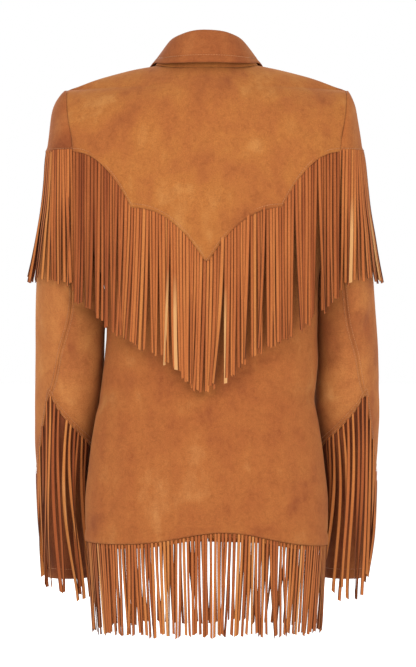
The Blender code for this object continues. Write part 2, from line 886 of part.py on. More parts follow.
def buttons():
    """Turned buttons with a rim and a dished face, on the front that lies over."""
    material = hide("horn", HORN, HORN_ROUGHNESS)
    top = BUTTON_THICKNESS
    dish = top - BUTTON_DISH
    flat = BUTTON_RADIUS - BUTTON_RIM
    profile = (
        (0, dish),
        (flat - BUTTON_EDGE, dish),
        (flat, top),
        (BUTTON_RADIUS - BUTTON_EDGE, top),
        (BUTTON_RADIUS, top - BUTTON_EDGE),
        (BUTTON_RADIUS - BUTTON_UNDERCUT, 0),
        (0, 0),
    )
    for number, level in enumerate(BUTTON_LEVELS, 1):
        data = bpy.data.meshes.new(f"button_{number}")
        data.from_pydata(
            [(radius * MM, 0, rise * MM) for radius, rise in profile],
            [(place, place + 1) for place in range(len(profile) - 1)],
            [],
        )
        data.materials.append(material)
        button = bpy.data.objects.new(f"button_{number}", data)
        jacket.objects.link(button)
        turned = button.modifiers.new("turned", "SCREW")
        turned.steps = BUTTON_STEPS
        turned.render_steps = BUTTON_STEPS
        turned.use_merge_vertices = True
        turned.merge_threshold = MERGE * MM
        turned.use_normal_calculate = True
        above = body_point(0.0, level + BUTTON_RADIUS, FRONT)
        below = body_point(0.0, level - BUTTON_RADIUS, FRONT)
        slope = (above - below).normalized()
        outward = Vector((1, 0, 0)).cross(slope).normalized()
        outward *= math.copysign(1, -outward.y)
        seat = body_point(body_share(0.0, level), level, FRONT)
        seat += outward * (SUEDE + OVERLAP_CLEARANCE + BUTTON_SHANK)
        button.location = seat * MM
        button.rotation_mode = "QUATERNION"
        button.rotation_quaternion = Vector((0, 0, 1)).rotation_difference(outward)


# ---------------------------------------------------------------- the jacket

for leftover in list(bpy.data.objects):
    bpy.data.objects.remove(leftover, do_unlink=True)
jacket = bpy.data.collections.new("fringed_jacket")
bpy.context.scene.collection.children.link(jacket)

back_yoke()
back_body()
front("front_left", LEFT, TAN)
front("front_right", RIGHT, TAN)
collar()
for side, name in ((LEFT, "left"), (RIGHT, "right")):
    sleeve(side, name)
    sleeve_fringes(side, name)
yoke_fringe()
hem_fringe("hem_fringe_back", BACK, -1.0, 1.0, back_columns())
start = HEM_FRINGE_FRONT_START
hem_fringe("hem_fringe_front_left", FRONT, start, 1.0, spaced(10))
hem_fringe("hem_fringe_front_right", FRONT, -start, -1.0, spaced(10))
buttons()
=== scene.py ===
import bisect
import functools
import math
import random

import bmesh
import bpy
from mathutils import Matrix, Vector
from mathutils import noise


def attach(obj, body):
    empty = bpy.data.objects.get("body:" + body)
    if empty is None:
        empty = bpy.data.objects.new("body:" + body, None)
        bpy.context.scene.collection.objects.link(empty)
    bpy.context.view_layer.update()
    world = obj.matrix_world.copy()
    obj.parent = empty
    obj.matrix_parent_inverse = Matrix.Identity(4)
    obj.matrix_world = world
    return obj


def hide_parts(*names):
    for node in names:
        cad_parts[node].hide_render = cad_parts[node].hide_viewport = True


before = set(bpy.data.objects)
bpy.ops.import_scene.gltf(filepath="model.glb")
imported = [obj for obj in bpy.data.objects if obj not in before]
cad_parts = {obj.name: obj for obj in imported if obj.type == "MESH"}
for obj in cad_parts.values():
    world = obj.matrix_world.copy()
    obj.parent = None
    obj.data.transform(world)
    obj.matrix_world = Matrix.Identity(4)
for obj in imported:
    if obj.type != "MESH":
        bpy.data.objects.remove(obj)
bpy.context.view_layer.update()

# Fringed suede jacket, hollow as worn. Tables are in mm, with the back towards +Y and the wearer's left
# at +X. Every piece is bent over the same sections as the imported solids.

mm = 0.001
back, front = 1, -1
left, right = 1, -1

suedeThickness = 1.6
seamGap = 0.3
neckHalfWidth = 72.0
neckDepth = {back: 62.0, front: 80.0}
shoulderHalfWidth = 195.0
shoulderDrop = 34.0
shoulderPad = 3.6
shoulderRoll = {back: 95.0, front: 150.0}
shoulderSlope = shoulderDrop / (shoulderHalfWidth - neckHalfWidth)
sideSquareness = 0.88
capSeam = -122.0
underarm = -235.0
cuffLevel = -721.0
hemLevel = -667.0
fringeFoot = -788.0
yoke = dict(cuspAcross=102.0, cusp=-200.0, point=-277.0, sideAcross=183.0, innerPower=2.2, outerPower=2.05)
hemArch = dict(rise=21.0, across=-25.0, width=85.0, tilt=0.018)
sleeveCrown = 78.0
chevronApex = 58.0
chevronFront = -75.0
sleeveSeamTop = -160.0


def makeTable(columns, *rows):
    ordered = sorted(rows)
    names = columns.split()
    table = {name: [row[place] for row in ordered] for place, name in enumerate(names)}
    return table | {"keys": table[names[0]]}


def read(table, column, key):
    # A smooth curve through the rows that never overshoots them
    keys, values = table["keys"], table[column]
    key = min(max(key, keys[0]), keys[-1])
    low = min(bisect.bisect_right(keys, key), len(keys) - 1) - 1

    def secant(place):
        return (values[place + 1] - values[place]) / (keys[place + 1] - keys[place])

    def slope(place):
        if place in (0, len(keys) - 1):
            return secant(min(place, len(keys) - 2))
        before, after = secant(place - 1), secant(place)
        return 2 * before * after / (before + after) if before * after > 0 else 0.0

    span = keys[low + 1] - keys[low]
    part = (key - keys[low]) / span
    start, end, rise = slope(low) * span, slope(low + 1) * span, values[low + 1] - values[low]
    bend = 3 * rise - 2 * start - end + part * (start + end - 2 * rise)
    return values[low] + part * (start + part * bend)


bodyTable = makeTable(
    "height halfWidth lean",
    (-235, 166, 0), (-270, 159, -3), (-300, 151, -6), (-340, 147.5, -8), (-375, 147.5, -7.5),
    (-412, 149.5, -6.5), (-445, 150, -3), (-468, 150.5, -0.5), (-490, 155, 0), (-523, 160.5, 0),
    (-560, 165, 0), (-613, 170, 0), (-700, 169, 0),
)
depthTable = makeTable(
    "height back front",
    (20, 94, 84), (-75, 102, 92), (-150, 110, 107), (-235, 112, 119), (-300, 106, 114), (-375, 96, 101),
    (-420, 93, 97), (-468, 96, 99), (-523, 103, 105), (-580, 110, 110), (-700, 113, 112),
)
armholeTable = makeTable(
    "height across open turn",
    (-34, 195, 90, 58), (-70, 192.5, 90, 58), (-100, 187.5, 90, 60), (-122, 183, 90, 63),
    (-160, 174.5, 108, 72), (-200, 168.5, 135, 82), (-235, 166, 180, 90),
)
sleeveTables = {
    left: makeTable(
        "height outer inner halfDepth forward",
        (-34, 198, 195, 66, 0), (-42, 204.5, 195, 66, 0), (-54, 211, 194, 66, 0),
        (-70, 215.5, 192.5, 66, 0), (-100, 219.5, 187.5, 66, 0), (-122, 222, 183, 66, 0),
        (-160, 224, 174.5, 65, 0), (-200, 227, 168.5, 64, 0), (-235, 231, 166, 62, 0),
        (-270, 235, 155, 61, -2), (-300, 238, 145, 60, -5), (-340, 239, 140.5, 58.5, -9),
        (-375, 240, 142.5, 57, -12), (-412, 240.5, 143.5, 56, -20), (-440, 241, 144.5, 55, -28),
        (-468, 241.5, 147, 54, -36), (-523, 241.5, 157, 51, -49), (-560, 240.5, 161, 50, -56),
        (-600, 238, 164, 48, -62), (-660, 232, 166, 46, -70), (-730, 225, 166, 44, -77),
    ),
    right: makeTable(
        "height outer inner halfDepth forward",
        (-34, 197.5, 195, 66, 0), (-42, 202, 195, 66, 0), (-57, 207, 193.8, 66, 0),
        (-79, 211, 191.4, 66, 0), (-100, 214.5, 187.5, 66, 0), (-122, 217.5, 183, 66, 0),
        (-160, 221, 174.5, 65, 0), (-200, 224, 168.5, 64, 0), (-235, 228, 166, 62, 0),
        (-270, 231.5, 160, 61, -8), (-300, 234.5, 155.5, 60, -15), (-340, 237.5, 154, 58.5, -22),
        (-375, 240, 153.5, 57, -28),
        (-412, 242, 154.5, 56, -34), (-440, 243, 152, 55, -38), (-468, 243, 150.5, 54, -43),
        (-523, 242, 157, 51, -53), (-560, 240.5, 161, 50, -59), (-600, 238, 164, 48, -65),
        (-660, 232, 166, 46, -72), (-730, 225, 166, 44, -78),
    ),
}
sleeveSeamTable = makeTable(
    "height behind before",
    (-160, 108, 108), (-235, 102, 96), (-322, 95, 84), (-357, 90, 80), (-403, 76, 76), (-440, 67, 75),
    (-462, 58, 75),
)
chevronTable = makeTable(
    "angle height",
    (-150, -575), (-90, -590), (-30, -592), (0, -587), (25, -565), (36, -540), (47, -500), (58, -462),
    (75, -481), (100, -503), (120, -517), (150, -533), (180, -553), (210, -575), (270, -590), (300, -592),
)
yokeFringeTable = makeTable(
    "across foot",
    (0, -455), (27, -441), (50, -417), (100, -386), (135, -366), (155, -345), (185, -324),
)
capFringeTable = makeTable("angle foot", (-95, -300), (0, -300), (60, -303), (95, -318))
sleeveFringeTable = makeTable("angle foot", (-60, -705), (20, -706), (60, -732), (130, -742))
leafTable = makeTable(
    "angle across forward height",
    (-30, -36, 66, -1), (0, 0, 73, -1), (30, 36, 66, -1), (60, 60, 41, 0), (90, 74, 0, 4),
    (115, 86, -38, -16), (140, 80, -73, -58), (166, 50, -103, -117),
)


def blend(start, end, part):
    return start + (end - start) * part


def ease(part):
    part = min(max(part, 0.0), 1.0)
    return part * part * (3 - 2 * part)


def bell(off):
    return math.exp(-off * off)


def solve(function, low, high):
    for _ in range(30):
        middle = (low + high) / 2
        low, high = (middle, high) if function(middle) < 0 else (low, middle)
    return (low + high) / 2


# The form of the body

def shoulderRidge(across):
    out = abs(across)
    along = (out - neckHalfWidth) / (shoulderHalfWidth - neckHalfWidth)
    padded = shoulderPad * math.sin(math.pi * min(max(along, 0.0), 1.0))
    if out < neckHalfWidth / 2:
        out = across * across / neckHalfWidth + neckHalfWidth / 4  # rounded where the neck cuts it off
    return shoulderSlope * (neckHalfWidth - out) + padded


def rolled(below, roll):
    part = min(max(below / roll, 0.0), 1.0)
    return math.sqrt(1 - (1 - part) ** 2)


@functools.lru_cache(maxsize=200000)
def bodySection(height):
    if height > underarm:
        turn = math.radians(read(armholeTable, "turn", height))
        return 0.0, read(armholeTable, "across", height), turn
    return read(bodyTable, "lean", height), read(bodyTable, "halfWidth", height), math.pi / 2


@functools.lru_cache(maxsize=200000)
def armholeDepth(height):
    if height <= underarm:
        return 0.0
    halfDepth = read(sleeveTables[left], "halfDepth", height) * rolled(-shoulderDrop - height, sleeveCrown)
    return halfDepth * math.sin(math.radians(read(armholeTable, "open", height)))


@functools.lru_cache(maxsize=200000)
def fullDepth(height, facing):
    return read(depthTable, "back" if facing == back else "front", height)


def bodyDepth(turned, across, height, facing):
    turn = bodySection(height)[2]
    rest = abs(math.cos(turn)) ** sideSquareness
    share = (abs(math.cos(turned)) ** sideSquareness - rest) / (1 - rest)
    full = fullDepth(height, facing) * rolled(shoulderRidge(across) - height, shoulderRoll[facing])
    edge = armholeDepth(height)
    return edge + (full - edge) * share


def bodyPoint(share, height, facing):
    middle, half, turn = bodySection(height)
    turned = abs(share) * turn
    out = half * abs(math.sin(turned)) ** sideSquareness / math.sin(turn) ** sideSquareness
    across = middle + math.copysign(out, share)
    return Vector((across, facing * bodyDepth(turned, across, height, facing), height))


def bodyShare(across, height):
    middle, half, turn = bodySection(height)
    out = min(abs(across - middle) / half, 1.0) * math.sin(turn) ** sideSquareness
    turned = math.asin(min(out ** (1 / sideSquareness), 1.0))
    return math.copysign(min(turned / turn, 1.0), across - middle)


def bodyAt(across, height, facing=back):
    return bodyPoint(bodyShare(across, height), height, facing)


@functools.lru_cache(maxsize=20000)
def bodyTop(share, facing):
    across = bodyPoint(share, 0.0, facing).x
    ridge = shoulderRidge(across)
    if abs(across) >= neckHalfWidth:
        return ridge
    wanted = neckDepth[facing] * math.sqrt(1 - (across / neckHalfWidth) ** 2)

    def pastNeck(drop):
        return abs(bodyPoint(share, ridge - drop, facing).y) - wanted
    return ridge - solve(pastNeck, 0.0, shoulderRoll[facing])


def yokeEdgeAt(across):
    out = abs(across)
    if out < yoke["cuspAcross"]:
        part = 1 - out / yoke["cuspAcross"]
        return blend(yoke["cusp"], yoke["point"], part ** yoke["innerPower"])
    part = max(yoke["sideAcross"] - out, 0.0) / (yoke["sideAcross"] - yoke["cuspAcross"])
    return blend(capSeam, yoke["cusp"], part ** yoke["outerPower"])


@functools.lru_cache(maxsize=20000)
def yokeEdge(share):
    def aboveEdge(height):
        return height - yokeEdgeAt(bodyPoint(share, height, back).x)
    return solve(aboveEdge, yoke["point"] - 1, capSeam + 1)


@functools.lru_cache(maxsize=20000)
def hemHeight(share, facing):
    across = bodyPoint(share, hemLevel, facing).x
    level = hemLevel + hemArch["tilt"] * across
    if facing == front:
        return level
    return level + hemArch["rise"] * bell((across - hemArch["across"]) / hemArch["width"])


# The form of the sleeves

@functools.lru_cache(maxsize=200000)
def sleeveSection(side, height):
    table = sleeveTables[side]
    opening = read(armholeTable, "open", height) if height > underarm else 180.0
    inner = read(armholeTable, "across", height) if height > underarm else read(table, "inner", height)
    outer = read(table, "outer", height)
    halfWidth = (outer - inner) / (1 - math.cos(math.radians(opening)))
    halfDepth = read(table, "halfDepth", height) * rolled(-shoulderDrop - height, sleeveCrown)
    return outer - halfWidth, halfWidth, read(table, "forward", height), halfDepth


def sleevePoint(side, angle, height, lift=0.0):
    centre, halfWidth, forward, halfDepth = sleeveSection(side, height)
    turned = math.radians(angle)
    across = centre + seamGap + (halfWidth + lift) * math.cos(turned)
    return Vector((side * across, forward + (halfDepth + lift) * math.sin(turned), height))


def sleeveSeam(column, height):
    opening = read(armholeTable, "open", height) if height > underarm else 180.0
    return min(read(sleeveSeamTable, column, height), opening)


def underAngle(part, height):
    behind, before = read(sleeveSeamTable, "behind", height), read(sleeveSeamTable, "before", height)
    return blend(behind, 360 - before, part)


@functools.lru_cache(maxsize=2000)
def underTop(part):
    def uncovered(height):
        return 180 - abs(180 - underAngle(part, height)) - read(armholeTable, "open", height)
    return solve(uncovered, underarm, sleeveSeamTop)


def backSurface(across, height):
    # How far back the jacket reaches: the body, or the sleeve beside it
    reach = 0.0
    middle, half, turn = bodySection(height)
    if abs(across - middle) <= half:
        reach = bodyDepth(abs(bodyShare(across, height)) * turn, across, height, back)
    centre, halfWidth, forward, halfDepth = sleeveSection(left if across > 0 else right, height)
    off = (abs(across) - centre - seamGap) / halfWidth
    if abs(off) < 1:
        reach = max(reach, forward + halfDepth * math.sqrt(1 - off * off))
    return reach


# Materials

def hexColour(text):
    # sRGB hex to linear
    parts = [int(text[i:i + 2], 16) / 255 for i in (1, 3, 5)]
    return tuple(p / 12.92 if p <= 0.04045 else ((p + 0.055) / 1.055) ** 2.4 for p in parts) + (1.0,)


def addNode(tree, kind, settings=None, values=None, links=None, stops=None):
    # Inputs are named, or numbered where two have one name. Stops are the places and colours of a colour ramp
    node = tree.nodes.new(kind)
    for name, value in (settings or {}).items():
        setattr(node, name, value)
    for name, value in (values or {}).items():
        node.inputs[name].default_value = value
    for name, source in (links or {}).items():
        tree.links.new(source, node.inputs[name])
    for number, (place, colour) in enumerate(stops or ()):
        elements = node.color_ramp.elements
        element = elements[number] if number < 2 else elements.new(place)
        element.position = place
        element.color = hexColour(colour)
    return node


def newMaterial(name, roughness, sheen, specular=0.2):
    material = bpy.data.materials.new(name)
    material.use_nodes = True
    shader = material.node_tree.nodes["Principled BSDF"]
    shader.inputs["Roughness"].default_value = roughness
    shader.inputs["Specular IOR Level"].default_value = specular
    shader.inputs["Sheen Weight"].default_value = sheen
    shader.inputs["Sheen Roughness"].default_value = 0.45
    shader.inputs["Sheen Tint"].default_value = hexColour("#E2A672")
    return material, material.node_tree, shader


# Suede: split hide, sanded to a nap. It is matt, with soft darker clouds where the nap lies the other way,
# and long pale smears where a hand has brushed it. The grain of the nap is about 0.7 mm, drawn at 1.4 mm so
# that it shows.
suedeSettings = dict(
    roughness=0.93, sheen=0.16, grainMm=1.4, cloudMm=85.0, cloudShare=1.6, contrast=0.385,
    smearMm=28.0, smearStretch=0.4, scuffMm=9.0,
    clouds=((0.33, "#864822"), (0.45, "#965628"), (0.56, "#9D5F2B"), (0.69, "#AA713B")),
)


def makeSuede(name, settings, clouds):
    material, tree, shader = newMaterial(name, settings["roughness"], settings["sheen"])
    place = addNode(tree, "ShaderNodeTexCoord").outputs["Object"]
    cloud = addNode(
        tree, "ShaderNodeTexNoise",
        values={"Scale": 1000 / settings["cloudMm"], "Detail": 3.0, "Roughness": 0.55, "Distortion": 0.6},
        links={"Vector": place},
    )
    stretch = addNode(
        tree, "ShaderNodeMapping",
        values={"Scale": (1.0, 1.0, settings["smearStretch"])},
        links={"Vector": place},
    )
    smear = addNode(
        tree, "ShaderNodeTexNoise",
        values={"Scale": 1000 / settings["smearMm"], "Detail": 4.0, "Roughness": 0.6},
        links={"Vector": stretch.outputs["Vector"]},
    )
    grain = addNode(
        tree, "ShaderNodeTexNoise",
        values={"Scale": 1000 / settings["grainMm"], "Detail": 2.0, "Roughness": 0.7},
        links={"Vector": place},
    )
    blended = addNode(
        tree, "ShaderNodeMath", {"operation": "MULTIPLY_ADD"},
        values={1: settings["cloudShare"]},
        links={0: cloud.outputs["Fac"], 2: smear.outputs["Fac"]},
    )
    lowered = addNode(
        tree, "ShaderNodeMath", {"operation": "MULTIPLY"},
        values={1: settings["contrast"]},
        links={0: blended.outputs[0]},
    )
    colour = addNode(tree, "ShaderNodeValToRGB", links={"Fac": lowered.outputs[0]}, stops=clouds)
    specks = addNode(
        tree, "ShaderNodeValToRGB",
        links={"Fac": grain.outputs["Fac"]},
        stops=((0.3, "#D6D6D6"), (0.7, "#FFFFFF")),
    )
    scuff = addNode(
        tree, "ShaderNodeTexNoise",
        values={"Scale": 1000 / settings["scuffMm"], "Detail": 5.0, "Roughness": 0.65, "Distortion": 1.2},
        links={"Vector": place},
    )
    scuffs = addNode(
        tree, "ShaderNodeValToRGB",
        links={"Fac": scuff.outputs["Fac"]},
        stops=((0.34, "#DCCFC6"), (0.47, "#F4F0EC"), (0.6, "#FFFFFF")),
    )
    marked = addNode(
        tree, "ShaderNodeMix", {"data_type": "RGBA", "blend_type": "MULTIPLY"},
        values={0: 0.5},
        links={6: colour.outputs["Color"], 7: scuffs.outputs["Color"]},
    )
    napped = addNode(
        tree, "ShaderNodeMix", {"data_type": "RGBA", "blend_type": "MULTIPLY"},
        values={0: 0.8},
        links={6: marked.outputs[2], 7: specks.outputs["Color"]},
    )
    bump = addNode(
        tree, "ShaderNodeBump",
        values={"Strength": 0.35, "Distance": 0.0004},
        links={"Height": grain.outputs["Fac"]},
    )
    tree.links.new(napped.outputs[2], shader.inputs["Base Color"])
    tree.links.new(bump.outputs["Normal"], shader.inputs["Normal"])
    return material


# Fringe: the same hide cut in strips. Each strip has a nap of its own, so a value kept in its UV map sets how
# light it is. The edges of each strip are painted darker, as painted shade of the slits between strips and
# the darker raw cut edge, and a turned strip shows its paler flesh side.
fringeSettings = dict(
    roughness=0.93, sheen=0.16, grainMm=1.2, streakMm=9.0, streakStretch=0.12, streakShare=0.40,
    cutEdgeAndSlitShade="#5E3E30", fleshSide="#B08050",
    tones=((0.08, "#592612"), (0.36, "#84421F"), (0.66, "#A15A2C"), (0.86, "#AE6C36"), (1.0, "#C08A58")),
)


def makeFringe(name, settings):
    material, tree, shader = newMaterial(name, settings["roughness"], settings["sheen"])
    own = addNode(tree, "ShaderNodeUVMap", {"uv_map": "tone"})
    split = addNode(tree, "ShaderNodeSeparateXYZ", links={"Vector": own.outputs["UV"]})
    cut = addNode(tree, "ShaderNodeUVMap", {"uv_map": "place"})
    cutSplit = addNode(tree, "ShaderNodeSeparateXYZ", links={"Vector": cut.outputs["UV"]})
    place = addNode(tree, "ShaderNodeTexCoord").outputs["Object"]
    stretch = addNode(
        tree, "ShaderNodeMapping",
        values={"Scale": (1.0, 1.0, settings["streakStretch"])},
        links={"Vector": place},
    )
    streak = addNode(
        tree, "ShaderNodeTexNoise",
        values={"Scale": 1000 / settings["streakMm"], "Detail": 3.0},
        links={"Vector": stretch.outputs["Vector"]},
    )
    grain = addNode(
        tree, "ShaderNodeTexNoise",
        values={"Scale": 1000 / settings["grainMm"], "Detail": 2.0},
        links={"Vector": place},
    )
    tone = addNode(
        tree, "ShaderNodeMath", {"operation": "MULTIPLY_ADD"},
        values={1: settings["streakShare"]},
        links={0: streak.outputs["Fac"], 2: split.outputs["X"]},
    )
    colour = addNode(tree, "ShaderNodeValToRGB", links={"Fac": tone.outputs[0]}, stops=settings["tones"])
    specks = addNode(
        tree, "ShaderNodeValToRGB",
        links={"Fac": grain.outputs["Fac"]},
        stops=((0.3, "#CFCFCF"), (0.7, "#FFFFFF")),
    )
    # Painted shade of the slits between strips, with the darker raw cut edge, darkens both edges of each
    # strip
    edges = addNode(
        tree, "ShaderNodeValToRGB",
        links={"Fac": cutSplit.outputs["X"]},
        stops=((0.0, settings["cutEdgeAndSlitShade"]), (0.24, "#FFFFFF"), (0.80, "#FFFFFF"), (1.0, settings["cutEdgeAndSlitShade"])),
    )
    speckled = addNode(
        tree, "ShaderNodeMix", {"data_type": "RGBA", "blend_type": "MULTIPLY"},
        values={0: 0.6},
        links={6: colour.outputs["Color"], 7: specks.outputs["Color"]},
    )
    edgedWithSlitShade = addNode(
        tree, "ShaderNodeMix", {"data_type": "RGBA", "blend_type": "MULTIPLY"},
        values={0: 0.9},
        links={6: speckled.outputs[2], 7: edges.outputs["Color"]},
    )
    lower = addNode(
        tree, "ShaderNodeValToRGB",
        links={"Fac": cutSplit.outputs["Y"]},
        stops=((0.35, "#000000"), (0.6, "#FFFFFF")),
    )
    turned = addNode(
        tree, "ShaderNodeMath", {"operation": "MULTIPLY"},
        links={0: lower.outputs["Color"], 1: split.outputs["Y"]},
    )
    finished = addNode(
        tree, "ShaderNodeMix", {"data_type": "RGBA", "blend_type": "MIX"},
        values={7: hexColour(settings["fleshSide"])},
        links={0: turned.outputs[0], 6: edgedWithSlitShade.outputs[2]},
    )
    bump = addNode(
        tree, "ShaderNodeBump",
        values={"Strength": 0.3, "Distance": 0.0004},
        links={"Height": grain.outputs["Fac"]},
    )
    tree.links.new(finished.outputs[2], shader.inputs["Base Color"])
    tree.links.new(bump.outputs["Normal"], shader.inputs["Normal"])
    return material


suede = makeSuede("napped suede", suedeSettings, suedeSettings["clouds"])
sleeveSuede = makeSuede(
    "napped suede of the sleeves", suedeSettings,
    ((0.33, "#8A4B26"), (0.45, "#9C5D2F"), (0.56, "#A56735"), (0.69, "#B27844")),
)
bodySuede = makeSuede(
    "napped suede of the body", suedeSettings,
    ((0.33, "#824320"), (0.45, "#925126"), (0.56, "#99592A"), (0.69, "#A66B3A")),
)
# The collar and the left cap are a darker suede; on the left cap it is painted shade of the side turned away
darkerSuedeAndCapShade = makeSuede(
    "napped suede, darker, with painted shade for the left cap", suedeSettings,
    ((0.33, "#74391C"), (0.45, "#864722"), (0.56, "#8F5027"), (0.69, "#9C6033")),
)
# Below the chevron the sleeve is redder and darker: a redder hide, with painted shade of the fringe over it
shadedSuede = makeSuede(
    "redder suede with painted fringe shade", suedeSettings | dict(sheen=0.08),
    ((0.30, "#642F18"), (0.44, "#743A1D"), (0.56, "#7F4421"), (0.70, "#8A5029")),
)
fringeSuede = makeFringe("suede cut in strips", fringeSettings)


def makeMottled(name, roughness, specular, scale, detail, stops):
    material, tree, shader = newMaterial(name, roughness, 0.0, specular)
    place = addNode(tree, "ShaderNodeTexCoord").outputs["Object"]
    cloud = addNode(
        tree, "ShaderNodeTexNoise", values={"Scale": scale, "Detail": detail}, links={"Vector": place},
    )
    colour = addNode(tree, "ShaderNodeValToRGB", links={"Fac": cloud.outputs["Fac"]}, stops=stops)
    tree.links.new(colour.outputs["Color"], shader.inputs["Base Color"])
    return material


# Waxed polyester thread, a little paler than the hide, with a soft shine along each stitch
thread = makeMottled("waxed sewing thread", 0.55, 0.4, 900.0, 2.0, ((0.35, "#8E5630"), (0.65, "#A86E42")))
# Horn: polished, dark brown with paler cloudy bands
horn = makeMottled(
    "polished horn", 0.3, 0.5, 180.0, 3.0, ((0.35, "#2C1810"), (0.55, "#4A2C1B"), (0.75, "#7A5033")),
)
print("materials made")


# How a shell is made

def finish(name, mesh, material, slot, *nodes):
    data = bpy.data.meshes.new(name)
    mesh.to_mesh(data)
    mesh.free()
    data.materials.append(material)
    data.shade_smooth()
    piece = bpy.data.objects.new(name, data)
    bpy.context.scene.collection.objects.link(piece)
    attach(piece, "root")
    if nodes:
        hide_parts(*nodes)
    return piece


def outward(mesh, inside):
    # Turns the sheet so that its faces look away from the hollow
    mesh.normal_update()
    score = 0.0
    for face in mesh.faces:
        middle = face.calc_center_median() / mm
        score += (middle - inside(middle)).dot(face.normal) * face.calc_area()
    if score < 0:
        bmesh.ops.reverse_faces(mesh, faces=mesh.faces)
    mesh.normal_update()


def shell(name, surface, settings, inside, relief, material, node):
    # surface(part, down) is the form of the panel, and relief(part, down, point) is how far it stands off it
    columns, rows = settings["grid"]
    mesh = bmesh.new()
    bmesh.ops.create_grid(mesh, x_segments=columns, y_segments=rows, size=0.5)
    spots = {}
    for vertex in mesh.verts:
        part = round((vertex.co.x + 0.5) * columns) / columns
        down = (round((vertex.co.y + 0.5) * rows) / rows) ** settings["rowPower"]
        spots[vertex.index] = (part, down)
        vertex.co = surface(part, down) * mm
    outward(mesh, inside)
    for vertex in mesh.verts:
        part, down = spots[vertex.index]
        vertex.co += vertex.normal * relief(part, down, vertex.co / mm) * mm
    mesh.normal_update()
    piece = finish(name, mesh, material, "suede", node)
    wall = piece.modifiers.new("hide", "SOLIDIFY")
    wall.thickness = suedeThickness * mm
    wall.offset = -1.0
    wall.use_rim = True
    return piece


def bodyAxis(point):
    return Vector((0, 0, min(point.z, -60.0) - 40.0))


def sleeveAxis(side):
    def axis(point):
        height = min(point.z - 12.0, capSeam)
        centre, _, forward, _ = sleeveSection(side, height)
        return Vector((side * centre, forward, min(point.z - 12.0, capSeam + 30.0)))
    return axis


def seamDip(distance, width=3.0, depth=0.6):
    # A panel turns under a little where it is sewn
    return -depth * bell(distance / width)


def softNoise(point, scale, depth, seed=0.0):
    return depth * noise.noise(Vector((point.x / scale + seed, point.y / scale, point.z / (scale * 1.8))))


# Creases, listed one by one. A row is where one starts and ends, as across and height in mm twice, then its
# width and depth. A ridge has a positive depth.
backCreases = (
    (-152, -462, -96, -448, 9, -3.2), (-150, -476, -112, -470, 7, 1.6), (-148, -440, -118, -420, 8, 1.8),
    (150, -470, 108, -440, 11, -1.7), (142, -430, 110, -400, 10, 1.4), (-70, -400, -84, -560, 20, -1.7),
    (74, -420, 92, -600, 24, -1.6), (30, -470, 18, -600, 26, 1.3), (-30, -480, -44, -640, 22, -1.2),
    (128, -520, 140, -650, 16, -1.5), (-126, -510, -138, -650, 17, -1.6), (60, -560, 52, -655, 15, -0.9),
)
yokeCreases = (
    (-176, -100, -120, -84, 12, -1.5), (178, -104, 128, -92, 13, -1.4), (-60, -30, -96, -110, 20, -1.1),
    (62, -34, 88, -120, 22, -1.0), (0, -40, 4, -150, 30, 0.9), (-150, -120, -172, -60, 9, 0.9),
)
frontCreases = (
    (-154, -250, -84, -214, 14, -3.0), (154, -252, 90, -220, 13, -2.6), (-148, -300, -100, -262, 11, 2.0),
    (140, -306, 98, -270, 12, 1.8), (-150, -440, -72, -420, 12, -2.4), (146, -452, 84, -430, 11, -2.2),
    (8, -300, 48, -284, 9, -1.2), (8, -404, 60, -396, 10, -1.6), (-14, -400, -58, -384, 10, -1.4),
    (-84, -470, -96, -650, 20, -1.8), (88, -480, 102, -650, 22, -1.6), (6, -500, 36, -510, 9, -1.1),
)


def creased(creases, across, height):
    total = 0.0
    for startX, startZ, endX, endZ, width, depth in creases:
        runX, runZ = endX - startX, endZ - startZ
        length = math.hypot(runX, runZ)
        along = ((across - startX) * runX + (height - startZ) * runZ) / (length * length)
        if not -0.25 < along < 1.25:
            continue
        off = abs((across - startX) * runZ - (height - startZ) * runX) / length
        if off > 3 * width:
            continue
        fade = ease((along + 0.25) / 0.4) * ease((1.25 - along) / 0.4)
        total += depth * fade * bell(off / width)
    return total


# Panels of the body

yokeSettings = dict(
    grid=(130, 74), rowPower=1.6, seamAllowance=2.5, sideReach=190,
    turned=2.6, turnedWidth=16, ridge=0.8, ridgeWidth=2.4, wave=0.8, waveMm=46,
)


def yokeSurface(part, down):
    share = 2 * part - 1
    foot = yokeEdge(share) - yokeSettings["seamAllowance"]
    point = bodyPoint(share, blend(bodyTop(share, back), foot, down), back)
    return point + Vector((0, seamGap / 2, 0))


def yokeRelief(part, down, point):
    toEdge = (point.z - yokeEdgeAt(point.x)) * 0.8  # the edge slopes, so this is nearer than straight down
    # The turned edge lies over the header of the fringe
    turned = yokeSettings["turned"] * ease(1 - toEdge / yokeSettings["turnedWidth"])
    ridge = yokeSettings["ridge"] * bell((toEdge - 1.0) / yokeSettings["ridgeWidth"])
    toSide = (1 - abs(2 * part - 1)) * yokeSettings["sideReach"]
    toTop = abs(point.y) if abs(point.x) > neckHalfWidth else 99
    lay = turned + ridge + creased(yokeCreases, point.x, point.z) + seamDip(toSide) + seamDip(toTop, 4, 0.8)
    return lay + softNoise(point, yokeSettings["waveMm"], yokeSettings["wave"])


hemFold = dict(ridge=0.9, ridgeAt=5, ridgeWidth=5, dip=0.8, dipAt=12, dipWidth=3)


def turnedHem(toHem):
    # The hem is turned up and stitched
    ridge = hemFold["ridge"] * bell((toHem - hemFold["ridgeAt"]) / hemFold["ridgeWidth"])
    return ridge - hemFold["dip"] * bell((toHem - hemFold["dipAt"]) / hemFold["dipWidth"])


def hanging(height):
    # 0 at the waist and 1 well below it, where a free panel waves a little
    return ease((-height - 420) / 200)


backSettings = dict(
    grid=(120, 130), rowPower=1.0, length=380, sideReach=250, sideFade=26,
    drapeMm=21, wave=1.1, waveMm=52,
)


def backForm(part, down):
    share = 2 * part - 1
    top = yokeEdge(share) - seamGap - yokeSettings["seamAllowance"]
    point = bodyPoint(share, blend(top, hemHeight(share, back), down), back)
    return point + Vector((0, seamGap / 2, 0))


